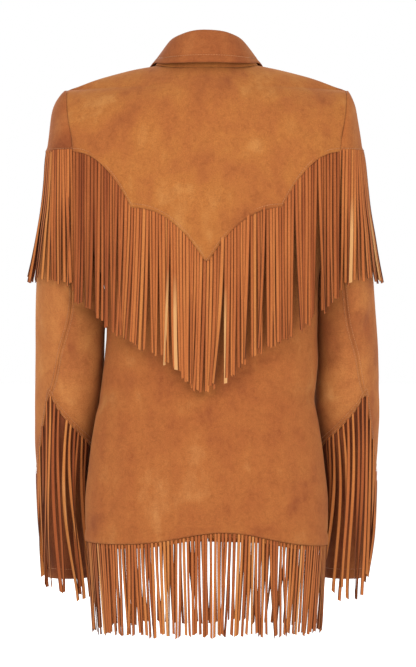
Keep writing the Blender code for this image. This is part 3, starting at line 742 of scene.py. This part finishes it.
def backRelief(part, down, point):
    toSide = (1 - abs(2 * part - 1)) * backSettings["sideReach"]
    wander = 0.6 + 0.4 * math.sin(point.x / 53)
    drape = math.sin(point.x / backSettings["drapeMm"] + 1.2) * hanging(point.z) * wander
    wave = softNoise(point, backSettings["waveMm"], backSettings["wave"], 7.0)
    lay = (creased(backCreases, point.x, point.z) + drape + wave) * ease(toSide / backSettings["sideFade"])
    return lay + turnedHem((1 - down) * backSettings["length"])


frontSettings = dict(
    grid=(76, 170), rowPower=1.15, length=600, width=190, sideReach=250, sideFade=26,
    lapLift=3.2, placket=34, drape=0.9, drapeMm=19, wave=1.0, waveMm=50,
)
frontEdge = bodyShare(-20.0, 0.0)


def frontSurface(side):
    def surface(part, down):
        share = side * blend(frontEdge, 1.0, part)
        point = bodyPoint(share, blend(bodyTop(share, front), hemHeight(share, front), down), front)
        if side == right:
            point.y -= frontSettings["lapLift"] * ease((point.x + 45.0) / 20.0)
        return point - Vector((0, seamGap / 2, 0))
    return surface


def frontRelief(side):
    def relief(part, down, point):
        toSide = (1 - part) * frontSettings["sideReach"]
        toEdge = part * frontSettings["width"]
        placket = 0.0
        quiet = ease((toEdge - 30) / 20)  # the left front is flat under the lap
        if side == right:
            placket = 0.6 * bell((toEdge - 1) / 3) - 0.6 * bell((toEdge - frontSettings["placket"]) / 2.5)
            quiet = 1.0
        toTop = abs(point.y) if abs(point.x) > neckHalfWidth else 99
        drape = frontSettings["drape"] * math.sin(point.x / frontSettings["drapeMm"]) * hanging(point.z)
        lay = creased(frontCreases, point.x, point.z) if abs(point.x) > 30 or side == right else 0.0
        wave = softNoise(point, frontSettings["waveMm"], frontSettings["wave"], 19.0)
        lay = (lay + drape + wave) * ease(toSide / frontSettings["sideFade"])
        lay += turnedHem((1 - down) * frontSettings["length"])
        return lay * quiet + placket + seamDip(toTop, 4, 0.6)
    return relief


yokePiece = shell("back_yoke_suede", yokeSurface, yokeSettings, bodyAxis, yokeRelief, suede, "back_yoke")
backPiece = shell("back_body_suede", backForm, backSettings, bodyAxis, backRelief, bodySuede, "back_body")
frontPieces = [
    shell(
        "front_" + name + "_suede", frontSurface(side), frontSettings, bodyAxis, frontRelief(side),
        bodySuede, "front_" + name,
    )
    for name, side in (("left", left), ("right", right))
]
print("body panels made")


# Sleeves

# The same for the sleeves, with the angle round the sleeve in degrees in place of the place across
sleeveCreases = {
    left: (
        (96, -332, 150, -350, 7, -2.2), (60, -392, 128, -372, 8, -2.0), (74, -418, 140, -404, 8, -1.6),
        (20, -350, 52, -392, 9, -1.5), (100, -440, 160, -452, 9, 1.6), (-80, -430, -10, -412, 8, -3.0),
        (-96, -460, -24, -446, 8, -3.2), (-88, -492, -30, -482, 8, -2.6), (-120, -400, -60, -392, 9, -2.2),
        (20, -470, -10, -560, 14, 1.2),
    ),
    right: (
        (88, -340, 150, -328, 7, -2.0), (64, -378, 120, -392, 8, -2.2), (80, -426, 150, -412, 9, -1.8),
        (24, -330, 56, -372, 9, -1.7), (96, -452, 150, -470, 8, 1.5), (-84, -424, -14, -404, 8, -3.1),
        (-92, -452, -20, -440, 9, -3.0), (-84, -486, -34, -474, 8, -2.4), (-116, -396, -56, -384, 9, -2.0),
        (16, -460, -12, -548, 14, 1.3),
    ),
}


def angleOf(side, point):
    centre, halfWidth, forward, halfDepth = sleeveSection(side, min(point.z, -60.0))
    return math.degrees(math.atan2((point.y - forward) / halfDepth, (side * point.x - centre) / halfWidth))


def sleeveRelief(side, extra):
    # extra(part, down, point) is what the seams and folds of one piece add
    def relief(part, down, point):
        angle = angleOf(side, point)
        lay = creased(sleeveCreases[side], angle, point.z)
        lay += creased(sleeveCreases[side], angle + 360, point.z)
        inner = ease((180 - abs(angle)) / 40) if point.z < -190 else 1.0
        return (lay + softNoise(point, 34, 0.9, 3.0 + side)) * inner + extra(part, down, point)
    return relief


sleeveSettings = dict(
    cap=dict(grid=(70, 40), rowPower=1.4, width=150, puff=1.2, underArmhole=1.2),
    upper=dict(grid=(64, 150), rowPower=1.0, width=110, length=400),
    under=dict(grid=(90, 120), rowPower=1.0, width=190, length=320),
    lower=dict(grid=(120, 60), rowPower=1.0, width=240),
    seamFold=1.6, seamFoldWidth=9, seamTurn=0.3, chevronTop=-462.0,
)


def seamFold(distance):
    # The upper piece is turned under and stands proud of the fringe that it holds
    return sleeveSettings["seamFold"] * ease(1 - distance / sleeveSettings["seamFoldWidth"])


def seamTurn(part):
    # The two edges of a piece stay a little apart, in degrees round the sleeve
    return sleeveSettings["seamTurn"] * (1 - 2 * part)


def makeSleeve(side, name):
    def cap(part, down):
        height = blend(-shoulderDrop - 1.5, capSeam - 1.5, down)
        opening = read(armholeTable, "open", height) + sleeveSettings["cap"]["underArmhole"]
        return sleevePoint(side, blend(-opening, opening, part), height)

    def capExtra(part, down, point):
        settings = sleeveSettings["cap"]
        toArmhole = (0.5 - abs(part - 0.5)) * settings["width"]
        toSeam = point.z - capSeam
        puffed = settings["puff"] * ease(1 - abs(part - 0.5) * 2.4) * ease(down * 3)
        return seamDip(toArmhole) + puffed + seamFold(toSeam) + 0.6 * bell((toSeam - 2) / 2)

    def upper(part, down):
        foot = read(chevronTable, "height", blend(chevronFront, chevronApex, part))
        height = blend(capSeam - seamGap - 1.5, foot, down)
        angle = blend(-sleeveSeam("before", height), sleeveSeam("behind", height), part)
        return sleevePoint(side, angle, height)

    def upperExtra(part, down, point):
        settings = sleeveSettings["upper"]
        toBack, toFront = (1 - part) * settings["width"], part * settings["width"]
        fold = seamFold((1 - down) * settings["length"])
        return seamDip(toBack, 2.2, 0.5) + seamDip(toFront, 2.2, 0.5) + fold

    def under(part, down):
        foot = read(chevronTable, "height", underAngle(part, sleeveSettings["chevronTop"]))
        height = blend(underTop(part), foot, down)
        return sleevePoint(side, underAngle(part, height) + seamTurn(part), height)

    def underExtra(part, down, point):
        settings = sleeveSettings["under"]
        toBack, toFront = part * settings["width"], (1 - part) * settings["width"]
        fold = seamFold((1 - down) * settings["length"]) * ease(1.4 - part)
        return seamDip(toBack, 2.2, 0.5) + seamDip(toFront, 2.2, 0.5) + fold

    def lower(part, down):
        angle = blend(chevronFront, 360 + chevronFront, part)
        top = read(chevronTable, "height", angle) - 2 * seamGap
        return sleevePoint(side, angle + seamTurn(part), blend(top, cuffLevel, down))

    def lowerExtra(part, down, point):
        toCuff = point.z - cuffLevel
        toSeam = (0.5 - abs(part - 0.5)) * sleeveSettings["lower"]["width"]
        return 0.7 * bell((toCuff - 4) / 4) - 0.8 * bell((toCuff - 14) / 3) + seamDip(toSeam, 2.2, 0.5)

    axis = sleeveAxis(side)
    # The left cap takes the darker suede as painted shade
    capHide = darkerSuedeAndCapShade if side == left else bodySuede
    for kind, node, surface, extra, hide in (
        ("cap", "sleeve_cap_" + name, cap, capExtra, capHide),
        ("upper", "upper_sleeve_" + name, upper, upperExtra, sleeveSuede),
        ("under", "under_sleeve_" + name, under, underExtra, sleeveSuede),
        ("lower", "lower_sleeve_" + name, lower, lowerExtra, shadedSuede),
    ):
        settings, relief = sleeveSettings[kind], sleeveRelief(side, extra)
        shell(node + "_suede", surface, settings, axis, relief, hide, node)


makeSleeve(left, "left")
makeSleeve(right, "right")
print("sleeves made")


# Collar

collarSettings = dict(
    taper=0.80, sideTaper=0.67, rise={back: 50.0, front: 23.0}, standEnd=163.0, leafEnd=166.0,
    rollOut={back: 11.0, front: 5.0}, rollUp={back: 8.0, front: 5.0},
    stand=dict(grid=(96, 10), rowPower=1.0), leaf=dict(grid=(180, 34), rowPower=1.0, depth=62, length=330),
)


def neckPoint(angle):
    facing = back if abs(angle) <= 90 else front
    turned = math.radians(angle)
    across = neckHalfWidth * math.sin(turned)
    return Vector((across, neckDepth[facing] * math.cos(turned), bodyTop(bodyShare(across, 0.0), facing)))


def behindShare(angle):
    # 1 in the middle of the back, and nearly 0 from the side on to the front
    return ((1 + math.cos(math.radians(angle))) / 2) ** 2.4


@functools.lru_cache(maxsize=2000)
def standTop(angle):
    point = neckPoint(angle)
    rise = blend(collarSettings["rise"][front], collarSettings["rise"][back], behindShare(angle))
    sideways = abs(math.sin(math.radians(angle))) ** 2
    taper = blend(collarSettings["taper"], collarSettings["sideTaper"], sideways)
    return Vector((point.x * taper, point.y * collarSettings["taper"], point.z + rise))


def neckAxis(point):
    return Vector((0, -8, point.z))


def standSurface(part, down):
    angle = blend(-collarSettings["standEnd"], collarSettings["standEnd"], part)
    return standTop(angle).lerp(neckPoint(angle) + Vector((0, 0, 2 * seamGap)), down)


def leafSurface(part, down):
    angle = blend(-collarSettings["leafEnd"], collarSettings["leafEnd"], part)
    fold = standTop(angle)
    out = Vector((fold.x, fold.y, 0)).normalized()
    start = fold + out * seamGap + Vector((0, 0, suedeThickness + 2 * seamGap))
    behind = behindShare(angle)
    rollOut, rollUp = collarSettings["rollOut"], collarSettings["rollUp"]
    rolledOver = start + out * blend(rollOut[front], rollOut[back], behind)
    rolledOver += Vector((0, 0, blend(rollUp[front], rollUp[back], behind)))
    across, forward, height = (read(leafTable, name, abs(angle)) for name in ("across", "forward", "height"))
    end = Vector((math.copysign(across, angle), forward, height))
    return start.lerp(rolledOver, down).lerp(rolledOver.lerp(end, down), down)


def leafRelief(part, down, point):
    toEdge = (1 - down) * collarSettings["leaf"]["depth"]
    toEnd = (0.5 - abs(part - 0.5)) * collarSettings["leaf"]["length"]
    near = min(toEdge, toEnd)
    return 0.5 * bell((near - 2.5) / 2.2) - 0.7 * bell((near - 6.5) / 1.6) + softNoise(point, 30, 0.6, 31.0)


def noRelief(part, down, point):
    return 0.0


standPiece = shell(
    "collar_stand_suede", standSurface, collarSettings["stand"], neckAxis, noRelief, suede, "collar_stand",
)
leafPiece = shell(
    "collar_leaf_suede", leafSurface, collarSettings["leaf"], neckAxis, leafRelief, darkerSuedeAndCapShade, "collar_leaf",
)
print("collar made")


# Fringe

def addStrip(mesh, layers, strip, segments):
    # One strip: a narrow grid whose rows follow the path, turned by the sideways vector of each row
    made = bmesh.ops.create_grid(mesh, x_segments=2, y_segments=segments, size=0.5)["verts"]
    tone, place = layers
    for face in {face for vertex in made for face in vertex.link_faces}:
        for loop in face.loops:
            loop[tone].uv = (strip["tone"], strip["pale"])
            loop[place].uv = (loop.vert.co.x + 0.5, loop.vert.co.y + 0.5)
    for vertex in made:
        across, down = vertex.co.x, vertex.co.y + 0.5
        cut = strip["cut"] * across * ease((down - 0.9) / 0.1)
        point = strip["path"](down) + Vector((0, 0, cut))
        width = strip["width"] * (1 - strip["narrow"] * (1 - ease(down * 2.2)))
        vertex.co = (point + strip["sideways"](down) * width * across) * mm


def stripBatch(name, strips, node, thickness=1.1, segments=16, band=None):
    mesh = bmesh.new()
    layers = mesh.loops.layers.uv.new("tone"), mesh.loops.layers.uv.new("place")
    for strip in strips:
        addStrip(mesh, layers, strip, segments)
    if band:
        band(mesh, layers)
    bmesh.ops.solidify(mesh, geom=mesh.faces[:], thickness=thickness * mm)
    bmesh.ops.recalc_face_normals(mesh, faces=mesh.faces)
    for edge in mesh.edges:
        edge.smooth = edge.calc_face_angle(0.0) < 0.7
    return finish(name, mesh, fringeSuede, "fringe", node)


def makeStrip(
    rng, hang, sideAxis, outAxis, width, drift, swing, twist, tone, pale=0.0, narrow=0.0, lift=0.0, curl=0.0,
):
    # hang(down) gives the plumb place, and the rest bends the strip away from it. A pale one turns its
    # flesh side out lower down.
    phase, bend = rng.uniform(0, 6.28), rng.uniform(0.6, 1.4)

    def path(down):
        away = drift * down ** 1.5 + swing * math.sin(bend * 3.1 * down + phase) * down
        return hang(down) + sideAxis * away + outAxis * (lift + curl * down * down)

    def sideways(down):
        turned = twist * ease((down - 0.12) / 0.88)
        return sideAxis * math.cos(turned) + outAxis * math.sin(turned)

    return dict(
        path=path, sideways=sideways, width=width, tone=tone, pale=pale, narrow=narrow,
        cut=rng.uniform(-4, 4),
    )


def within(value, low, high):
    return min(max(value, low), high)


def strayed(rng, spread, loose, stray):
    # A little to either side, and well to one side for a loose strip
    return rng.gauss(0, spread) + (rng.choice((-stray, stray)) if loose else 0)


yokeStyle = dict(
    start=-183.0, end=182.5, pitch=4.3, lengthSpread=4.0, steps=12, groupOdds=0.25, groupLean=2.2,
    looseOdds=0.10, stray=7, strayTwist=0.8, tone=0.43, toneSpread=0.08,
    darkerOutside={left: 0.22, right: 0.12}, paleOdds=0.022,
)


def yokeFringe():
    rng = random.Random(11)
    strips = []
    across = yokeStyle["start"]
    sideAxis, outAxis = Vector((1, 0, 0)), Vector((0, 1, 0))
    group = 0.0
    steps = yokeStyle["steps"]
    while across < yokeStyle["end"]:
        pitch = yokeStyle["pitch"] * rng.uniform(0.75, 1.25)
        place = across + pitch / 2
        top = yokeEdgeAt(place) + 2.0
        foot = read(yokeFringeTable, "foot", abs(place)) + rng.uniform(-1, 1) * yokeStyle["lengthSpread"]
        reach = [backSurface(place, blend(top, foot, step / steps)) for step in range(steps + 1)]

        def hang(down, place=place, top=top, foot=foot, reach=reach):
            height = blend(top, foot, down)
            low = min(int(down * steps), steps - 1)
            shown = blend(max(reach[: low + 1]), max(reach[: low + 2]), down * steps - low)
            stand = blend(0.7, 2.1, ease((top - height) / 16))
            return Vector((place, shown + stand, height))

        # Strips lean together in small groups, and the odd one lies across its neighbours
        if rng.random() < yokeStyle["groupOdds"]:
            group = rng.gauss(0, yokeStyle["groupLean"])
        loose = rng.random() < yokeStyle["looseOdds"]
        darker = yokeStyle["darkerOutside"][left if place > 0 else right]
        tone = yokeStyle["tone"] - darker * ease((abs(place) - 80) / 60)
        strips.append(makeStrip(
            rng, hang, sideAxis, outAxis,
            width=pitch * rng.uniform(0.90, 1.04),
            drift=group + strayed(rng, 1.0, loose, yokeStyle["stray"]),
            swing=rng.uniform(0.2, 1.4),
            twist=strayed(rng, 0.30, loose, yokeStyle["strayTwist"]),
            tone=within(rng.gauss(tone, yokeStyle["toneSpread"]), 0.08, 0.70),
            pale=1.0 if rng.random() < yokeStyle["paleOdds"] else 0.0,
            lift=rng.uniform(0.0, 1.2) + (1.4 if loose else 0),
            curl=rng.uniform(-0.2, 2.4),
        ))
        across += pitch
    stripBatch("yoke_fringe_strips", strips, "yoke_fringe", segments=22)


def behindSleeve(side, across, height, lift):
    # How far from the middle of the arm its surface is at this place across, in depth
    centre, halfWidth, forward, halfDepth = sleeveSection(side, height)
    share = min(abs(side * across - centre - seamGap) / (halfWidth + lift), 1.0)
    return forward, (halfDepth + lift) * math.sqrt(1 - share * share)


def ringStrips(side, rng, start, end, topOf, footOf, style):
    strips = []
    angle = start
    while angle < end:
        height = topOf(angle)
        here, there = sleevePoint(side, angle, height), sleevePoint(side, angle + 1.0, height)
        step = style["pitch"] * rng.uniform(0.75, 1.25) / max((there - here).length, 0.4)
        place = angle + step / 2
        top = topOf(place) + 2.0
        foot = footOf(place) + rng.uniform(-1, 1) * style["lengthSpread"]
        out = (sleevePoint(side, place, height, 10.0) - sleevePoint(side, place, height)).normalized()
        sideAxis = Vector((0, 0, 1)).cross(out).normalized()
        sewn = sleevePoint(side, place, top, 0.8)

        def hang(down, place=place, top=top, foot=foot, sewn=sewn):
            level = blend(top, foot, down)
            away = blend(0.8, 2.0, ease((top - level) / 16)) + style["flare"] * down ** 3
            laid = sleevePoint(side, place, level, away)
            if not style["plumb"]:
                inward = side * 5.0 * down * ease((abs(place) - 55.0) / 30.0)
                across = blend(laid.x, sewn.x, ease((abs(place) - 20.0) / 40.0)) - inward
                forward, reach = behindSleeve(side, across, level, away)
                outside = math.copysign(max(abs(laid.y - forward), reach), place)
                return Vector((across, forward + outside, level))
            free = ease((100.0 - place) / 60.0)
            stand = style["flare"] * (1 + 1.6 * ease((50.0 - place) / 40.0))
            behind = max(laid.y, sewn.y) if place > 0 else laid.y
            across = blend(laid.x, sewn.x, free)
            hung = Vector((across, blend(laid.y, behind, 0.6), level)) + out * stand * down * down
            forward, reach = behindSleeve(side, hung.x, level, 2.2)
            if place > 30:
                hung.y = max(hung.y, forward + reach)
            return hung

        loose = rng.random() < 0.15
        if place < style["solidUpTo"] or rng.random() > style["missing"]:
            pale = rng.random() < style["pale"] * ease((place + 20) / 60)
            strips.append(makeStrip(
                rng, hang, sideAxis, out,
                width=style["pitch"] * style["share"] * rng.uniform(0.85, 1.12),
                drift=strayed(rng, style["drift"], loose, 5),
                swing=rng.uniform(0.3, 1.3) * style["swing"],
                twist=strayed(rng, style["twist"], loose, 0.9),
                tone=(
                    style["paleTone"] * rng.uniform(0.9, 1.06) if pale
                    else within(rng.gauss(style["tone"], 0.11), 0.0, 0.75)
                ),
                pale=1.0 if pale and style["turns"] else 0.0,
                narrow=style["narrow"],
                lift=rng.uniform(0.0, 1.1) + (1.2 if loose else 0),
                curl=rng.uniform(-0.2, 1.6),
            ))
        angle += step
    return strips


capStyle = dict(
    pitch=4.4, share=1.0, flare=7.0, plumb=False, lengthSpread=4.0, drift=1.6, swing=0.9, twist=0.30,
    narrow=0.0, tone=0.41, solidUpTo=200, missing=0.0, paleTone=0.55, turns=True,
)
capOwn = {left: dict(pale=0.02), right: dict(pale=0.24)}
forearmStyle = dict(
    pitch=6.4, share=0.82, flare=8.0, plumb=True, lengthSpread=14.0, drift=4.2, swing=4.4, twist=1.0,
    narrow=0.35, solidUpTo=20, turns=False,
)
forearmOwn = {
    left: dict(missing=0.10, pale=0.48, paleTone=0.62, tone=0.24),
    right: dict(missing=0.0, pale=0.55, paleTone=0.54, tone=0.36),
}


def sleeveFringes(side, name, seed):
    rng = random.Random(seed)

    def capTop(angle):
        return capSeam - 0.5

    def capFoot(angle):
        return read(capFringeTable, "foot", angle)

    def forearmTop(angle):
        return read(chevronTable, "height", angle) - 0.5

    def forearmFoot(angle):
        return read(sleeveFringeTable, "foot", angle)

    caps = ringStrips(side, rng, -88.0, 88.0, capTop, capFoot, capStyle | capOwn[side])
    stripBatch("cap_fringe_" + name + "_strips", caps, "cap_fringe_" + name, segments=18)
    lowers = ringStrips(side, rng, -56.0, 132.0, forearmTop, forearmFoot, forearmStyle | forearmOwn[side])
    stripBatch("sleeve_fringe_" + name + "_strips", lowers, "sleeve_fringe_" + name, segments=20)


def hemFringe(name, facing, start, end, node, seed, pitch, share, tone):
    rng = random.Random(seed)
    strips = []

    def frameAt(place):
        here, there = (bodyPoint(place + step, hemLevel, facing) for step in (-0.002, 0.002))
        tangent = (there - here).normalized()
        out = tangent.cross(Vector((0, 0, 1))).normalized()
        spot = bodyPoint(place, hemLevel, facing)
        out *= math.copysign(1, out.dot(Vector((spot.x, spot.y, 0))))
        return spot - out * 1.3, tangent, out, max((there - here).length / 0.004, 1.0)

    place, group = start + 0.004, 0.0
    while place < end - 0.004:
        spot, tangent, out, stretch = frameAt(place)
        step = pitch * rng.uniform(0.8, 1.2) / stretch
        top = hemHeight(round(place, 4), facing) - 0.7
        foot = fringeFoot + rng.uniform(-3.5, 3.5)

        def hang(down, spot=spot, top=top, foot=foot):
            drawn = 1 - 0.05 * down
            return Vector((spot.x * drawn, spot.y * drawn, blend(top, foot, down)))

        if rng.random() < 0.22:
            group = rng.gauss(0, 3.2)
        loose = rng.random() < 0.1
        strips.append(makeStrip(
            rng, hang, tangent, out,
            width=pitch * share * rng.uniform(0.85, 1.15),
            drift=group + strayed(rng, 1.0, loose, 4),
            swing=rng.uniform(0.2, 0.9),
            twist=strayed(rng, 0.30, loose, 0.9),
            tone=within(rng.gauss(tone, 0.13), 0.0, 0.8),
            lift=rng.uniform(-0.3, 0.4),
            curl=rng.uniform(-1.0, 1.0),
        ))
        place += step

    def header(mesh, layers):
        # The uncut top of the fringe, held in the hem
        made = bmesh.ops.create_grid(mesh, x_segments=90, y_segments=2, size=0.5)["verts"]
        for face in {face for vertex in made for face in vertex.link_faces}:
            for loop in face.loops:
                # The header's tone is lighter than the strips': painted light that offsets the hem's shade
                # over it
                loop[layers[0]].uv = (0.62, 0.0)
                loop[layers[1]].uv = (0.5, 0.3)
        for vertex in made:
            where = blend(start + 0.004, end - 0.004, vertex.co.x + 0.5)
            level = hemHeight(round(where, 4), facing) + 3.0 - 8.5 * (vertex.co.y + 0.5)
            spot, _, out, _ = frameAt(where)
            vertex.co = Vector((spot.x - out.x, spot.y - out.y, level)) * mm

    stripBatch(name, strips, node, segments=16, band=header)


yokeFringe()
sleeveFringes(left, "left", 23)
sleeveFringes(right, "right", 37)
hemFringe("hem_fringe_back_strips", back, -1.0, 1.0, "hem_fringe_back", 41, 5.3, 0.72, 0.46)
hemFringe("hem_fringe_front_left_strips", front, 0.0, 1.0, "hem_fringe_front_left", 43, 6.6, 0.48, 0.40)
hemFringe("hem_fringe_front_right_strips", front, -1.0, 0.0, "hem_fringe_front_right", 47, 6.6, 0.48, 0.40)
print("fringe made")


# Topstitching

stitchSettings = dict(length=2.6, pitch=3.6, width=0.62, height=0.42)


def stitchRow(mesh, line, lift, count=400):
    # line(0..1) gives (point, normal). Stitches are set at an even pitch along it
    samples = [line(step / count) for step in range(count + 1)]
    travelled, due = 0.0, stitchSettings["pitch"] / 2
    for (here, normal), (there, _) in zip(samples, samples[1:]):
        run = there - here
        length = run.length
        while length > 0 and due <= travelled + length:
            point = here + run * ((due - travelled) / length) + normal * lift
            along = run.normalized()
            across = normal.cross(along).normalized()
            turned = Matrix((along, across, normal)).transposed().to_4x4()
            size = Matrix.Diagonal([stitchSettings[side] for side in ("length", "width", "height")] + [1])
            bmesh.ops.create_cube(mesh, size=mm, matrix=Matrix.Translation(point * mm) @ turned @ size)
            due += stitchSettings["pitch"]
        travelled += length


def surfaceNormal(surface, here, there, inside):
    normal = here.cross(there).normalized()
    return normal if normal.dot(surface - inside) > 0 else -normal


def bodyLine(acrossOf, heightOf, facing=back):
    def line(part):
        across, height = acrossOf(part), heightOf(part)
        point = bodyAt(across, height, facing)
        sideStep = bodyAt(across + 1.0, height, facing) - bodyAt(across - 1.0, height, facing)
        downStep = bodyAt(across, height - 1.0, facing) - bodyAt(across, height + 1.0, facing)
        return point, surfaceNormal(point, sideStep, downStep, bodyAxis(point))
    return line


def sleeveLine(side, angleAt, heightAt):
    def line(part):
        angle, height = angleAt(part), heightAt(part)
        point = sleevePoint(side, angle, height)
        turned = sleevePoint(side, angle + 1, height) - sleevePoint(side, angle - 1, height)
        downStep = sleevePoint(side, angle, height - 1) - sleevePoint(side, angle, height + 1)
        return point, surfaceNormal(point, turned, downStep, sleeveAxis(side)(point))
    return line


def surfaceLine(surface, partAt, downAt, inside):
    def line(along):
        part, down = partAt(along), downAt(along)
        point = surface(part, down)
        sideStep = surface(min(part + 0.004, 1.0), down) - surface(max(part - 0.004, 0.0), down)
        downStep = surface(part, min(down + 0.01, 1.0)) - surface(part, max(down - 0.01, 0.0))
        return point, surfaceNormal(point, sideStep, downStep, inside(point))
    return line


def along(start, end):
    return lambda part: blend(start, end, part)


def chevronLine(side, start, end, above):
    def heightAt(part):
        return read(chevronTable, "height", blend(start, end, part)) + above
    return sleeveLine(side, along(start, end), heightAt)


def backSeamLine(side, aside):
    heightAt = along(-165, -458)

    def angleAt(part):
        return read(sleeveSeamTable, "behind", heightAt(part)) + aside
    return sleeveLine(side, angleAt, heightAt)


def yokeEdgeLine(above):
    acrossAt = along(-181, 181)
    return bodyLine(acrossAt, lambda part: yokeEdgeAt(acrossAt(part)) + above)


stitches = bmesh.new()
stitchRow(stitches, yokeEdgeLine(2.6), 3.2, 900)
stitchRow(stitches, surfaceLine(leafSurface, along(0.02, 0.98), along(0.895, 0.895), neckAxis), -0.2, 700)
for end in (0.02, 0.98):
    stitchRow(stitches, surfaceLine(leafSurface, along(end, end), along(0.3, 0.89), neckAxis), -0.2)
for place, lift in ((0.035, 0.3), (0.165, -0.3)):
    line = surfaceLine(frontSurface(right), along(place, place), along(0.01, 0.985), bodyAxis)
    stitchRow(stitches, line, lift, 700)
for side in (left, right):
    stitchRow(stitches, sleeveLine(side, along(-89, 89), lambda part: capSeam + 3.0), 2.6)
    stitchRow(stitches, sleeveLine(side, along(-180, 180), lambda part: cuffLevel + 14.0), -0.5, 500)
    for offset in (2.6, 7.4):
        stitchRow(stitches, chevronLine(side, chevronApex, 284, offset * 1.25), 2.0, 700)
        stitchRow(stitches, chevronLine(side, -74, chevronApex, offset * 1.6), 2.0, 700)
    for aside in (-4.0, 4.0):
        stitchRow(stitches, backSeamLine(side, aside), 0.25)
finish("topstitching", stitches, thread, "suede")
print("stitching made")


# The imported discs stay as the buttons, in polished horn

for number in range(1, 6):
    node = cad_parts[f"button_{number}"]
    node.data.materials.clear()
    node.data.materials.append(horn)


# Studio

floorMesh = bmesh.new()
bmesh.ops.create_grid(floorMesh, x_segments=2, y_segments=2, size=30.0)
bmesh.ops.translate(floorMesh, verts=floorMesh.verts, vec=(0, 0, -0.96))
floorData = bpy.data.meshes.new("floor")
floorMesh.to_mesh(floorData)
floorMesh.free()
floor = bpy.data.objects.new("floor", floorData)
bpy.context.scene.collection.objects.link(floor)
floorMaterial, _, floorShader = newMaterial("white studio floor", 0.9, 0.0)
floorShader.inputs["Base Color"].default_value = hexColour("#FAFAFA")
floorShader.inputs["Emission Color"].default_value = hexColour("#FFFFFF")
floorShader.inputs["Emission Strength"].default_value = 0.12
floorData.materials.append(floorMaterial)

world = bpy.data.worlds.new("studio")
bpy.context.scene.world = world
world.use_nodes = True
world.node_tree.nodes["Background"].inputs["Color"].default_value = (1, 1, 1, 1)
world.node_tree.nodes["Background"].inputs["Strength"].default_value = 1.0


def softLight(name, place, aim, size, power):
    data = bpy.data.lights.new(name, "AREA")
    data.shape = "RECTANGLE"
    data.size, data.size_y = size
    data.energy = power
    lamp = bpy.data.objects.new(name, data)
    lamp.location = place
    lamp.rotation_euler = (Vector(aim) - Vector(place)).to_track_quat("-Z", "Y").to_euler()
    bpy.context.scene.collection.objects.link(lamp)


softLight("key", (1.2, 3.0, 1.3), (0, 0, -0.35), (1.6, 1.6), 70)
softLight("fill", (-1.9, 3.0, 0.2), (0, 0, -0.4), (1.6, 2.0), 42)
softLight("front", (0.6, -3.2, 1.0), (0, 0, -0.4), (2.0, 2.0), 60)

cameraData = bpy.data.cameras.new("camera")
cameraData.sensor_fit = "VERTICAL"
cameraData.sensor_height = 36.0
cameraDistance = 4.2
frameHeight = 0.934
cameraData.lens = 36.0 * cameraDistance / frameHeight
camera = bpy.data.objects.new("camera", cameraData)
camera.location = (-0.002, cameraDistance, -0.3745)
camera.rotation_euler = (math.radians(90), 0, math.radians(180))
bpy.context.scene.collection.objects.link(camera)
bpy.context.scene.camera = camera
bpy.context.scene.view_settings.view_transform = "Standard"
bpy.context.view_layer.update()
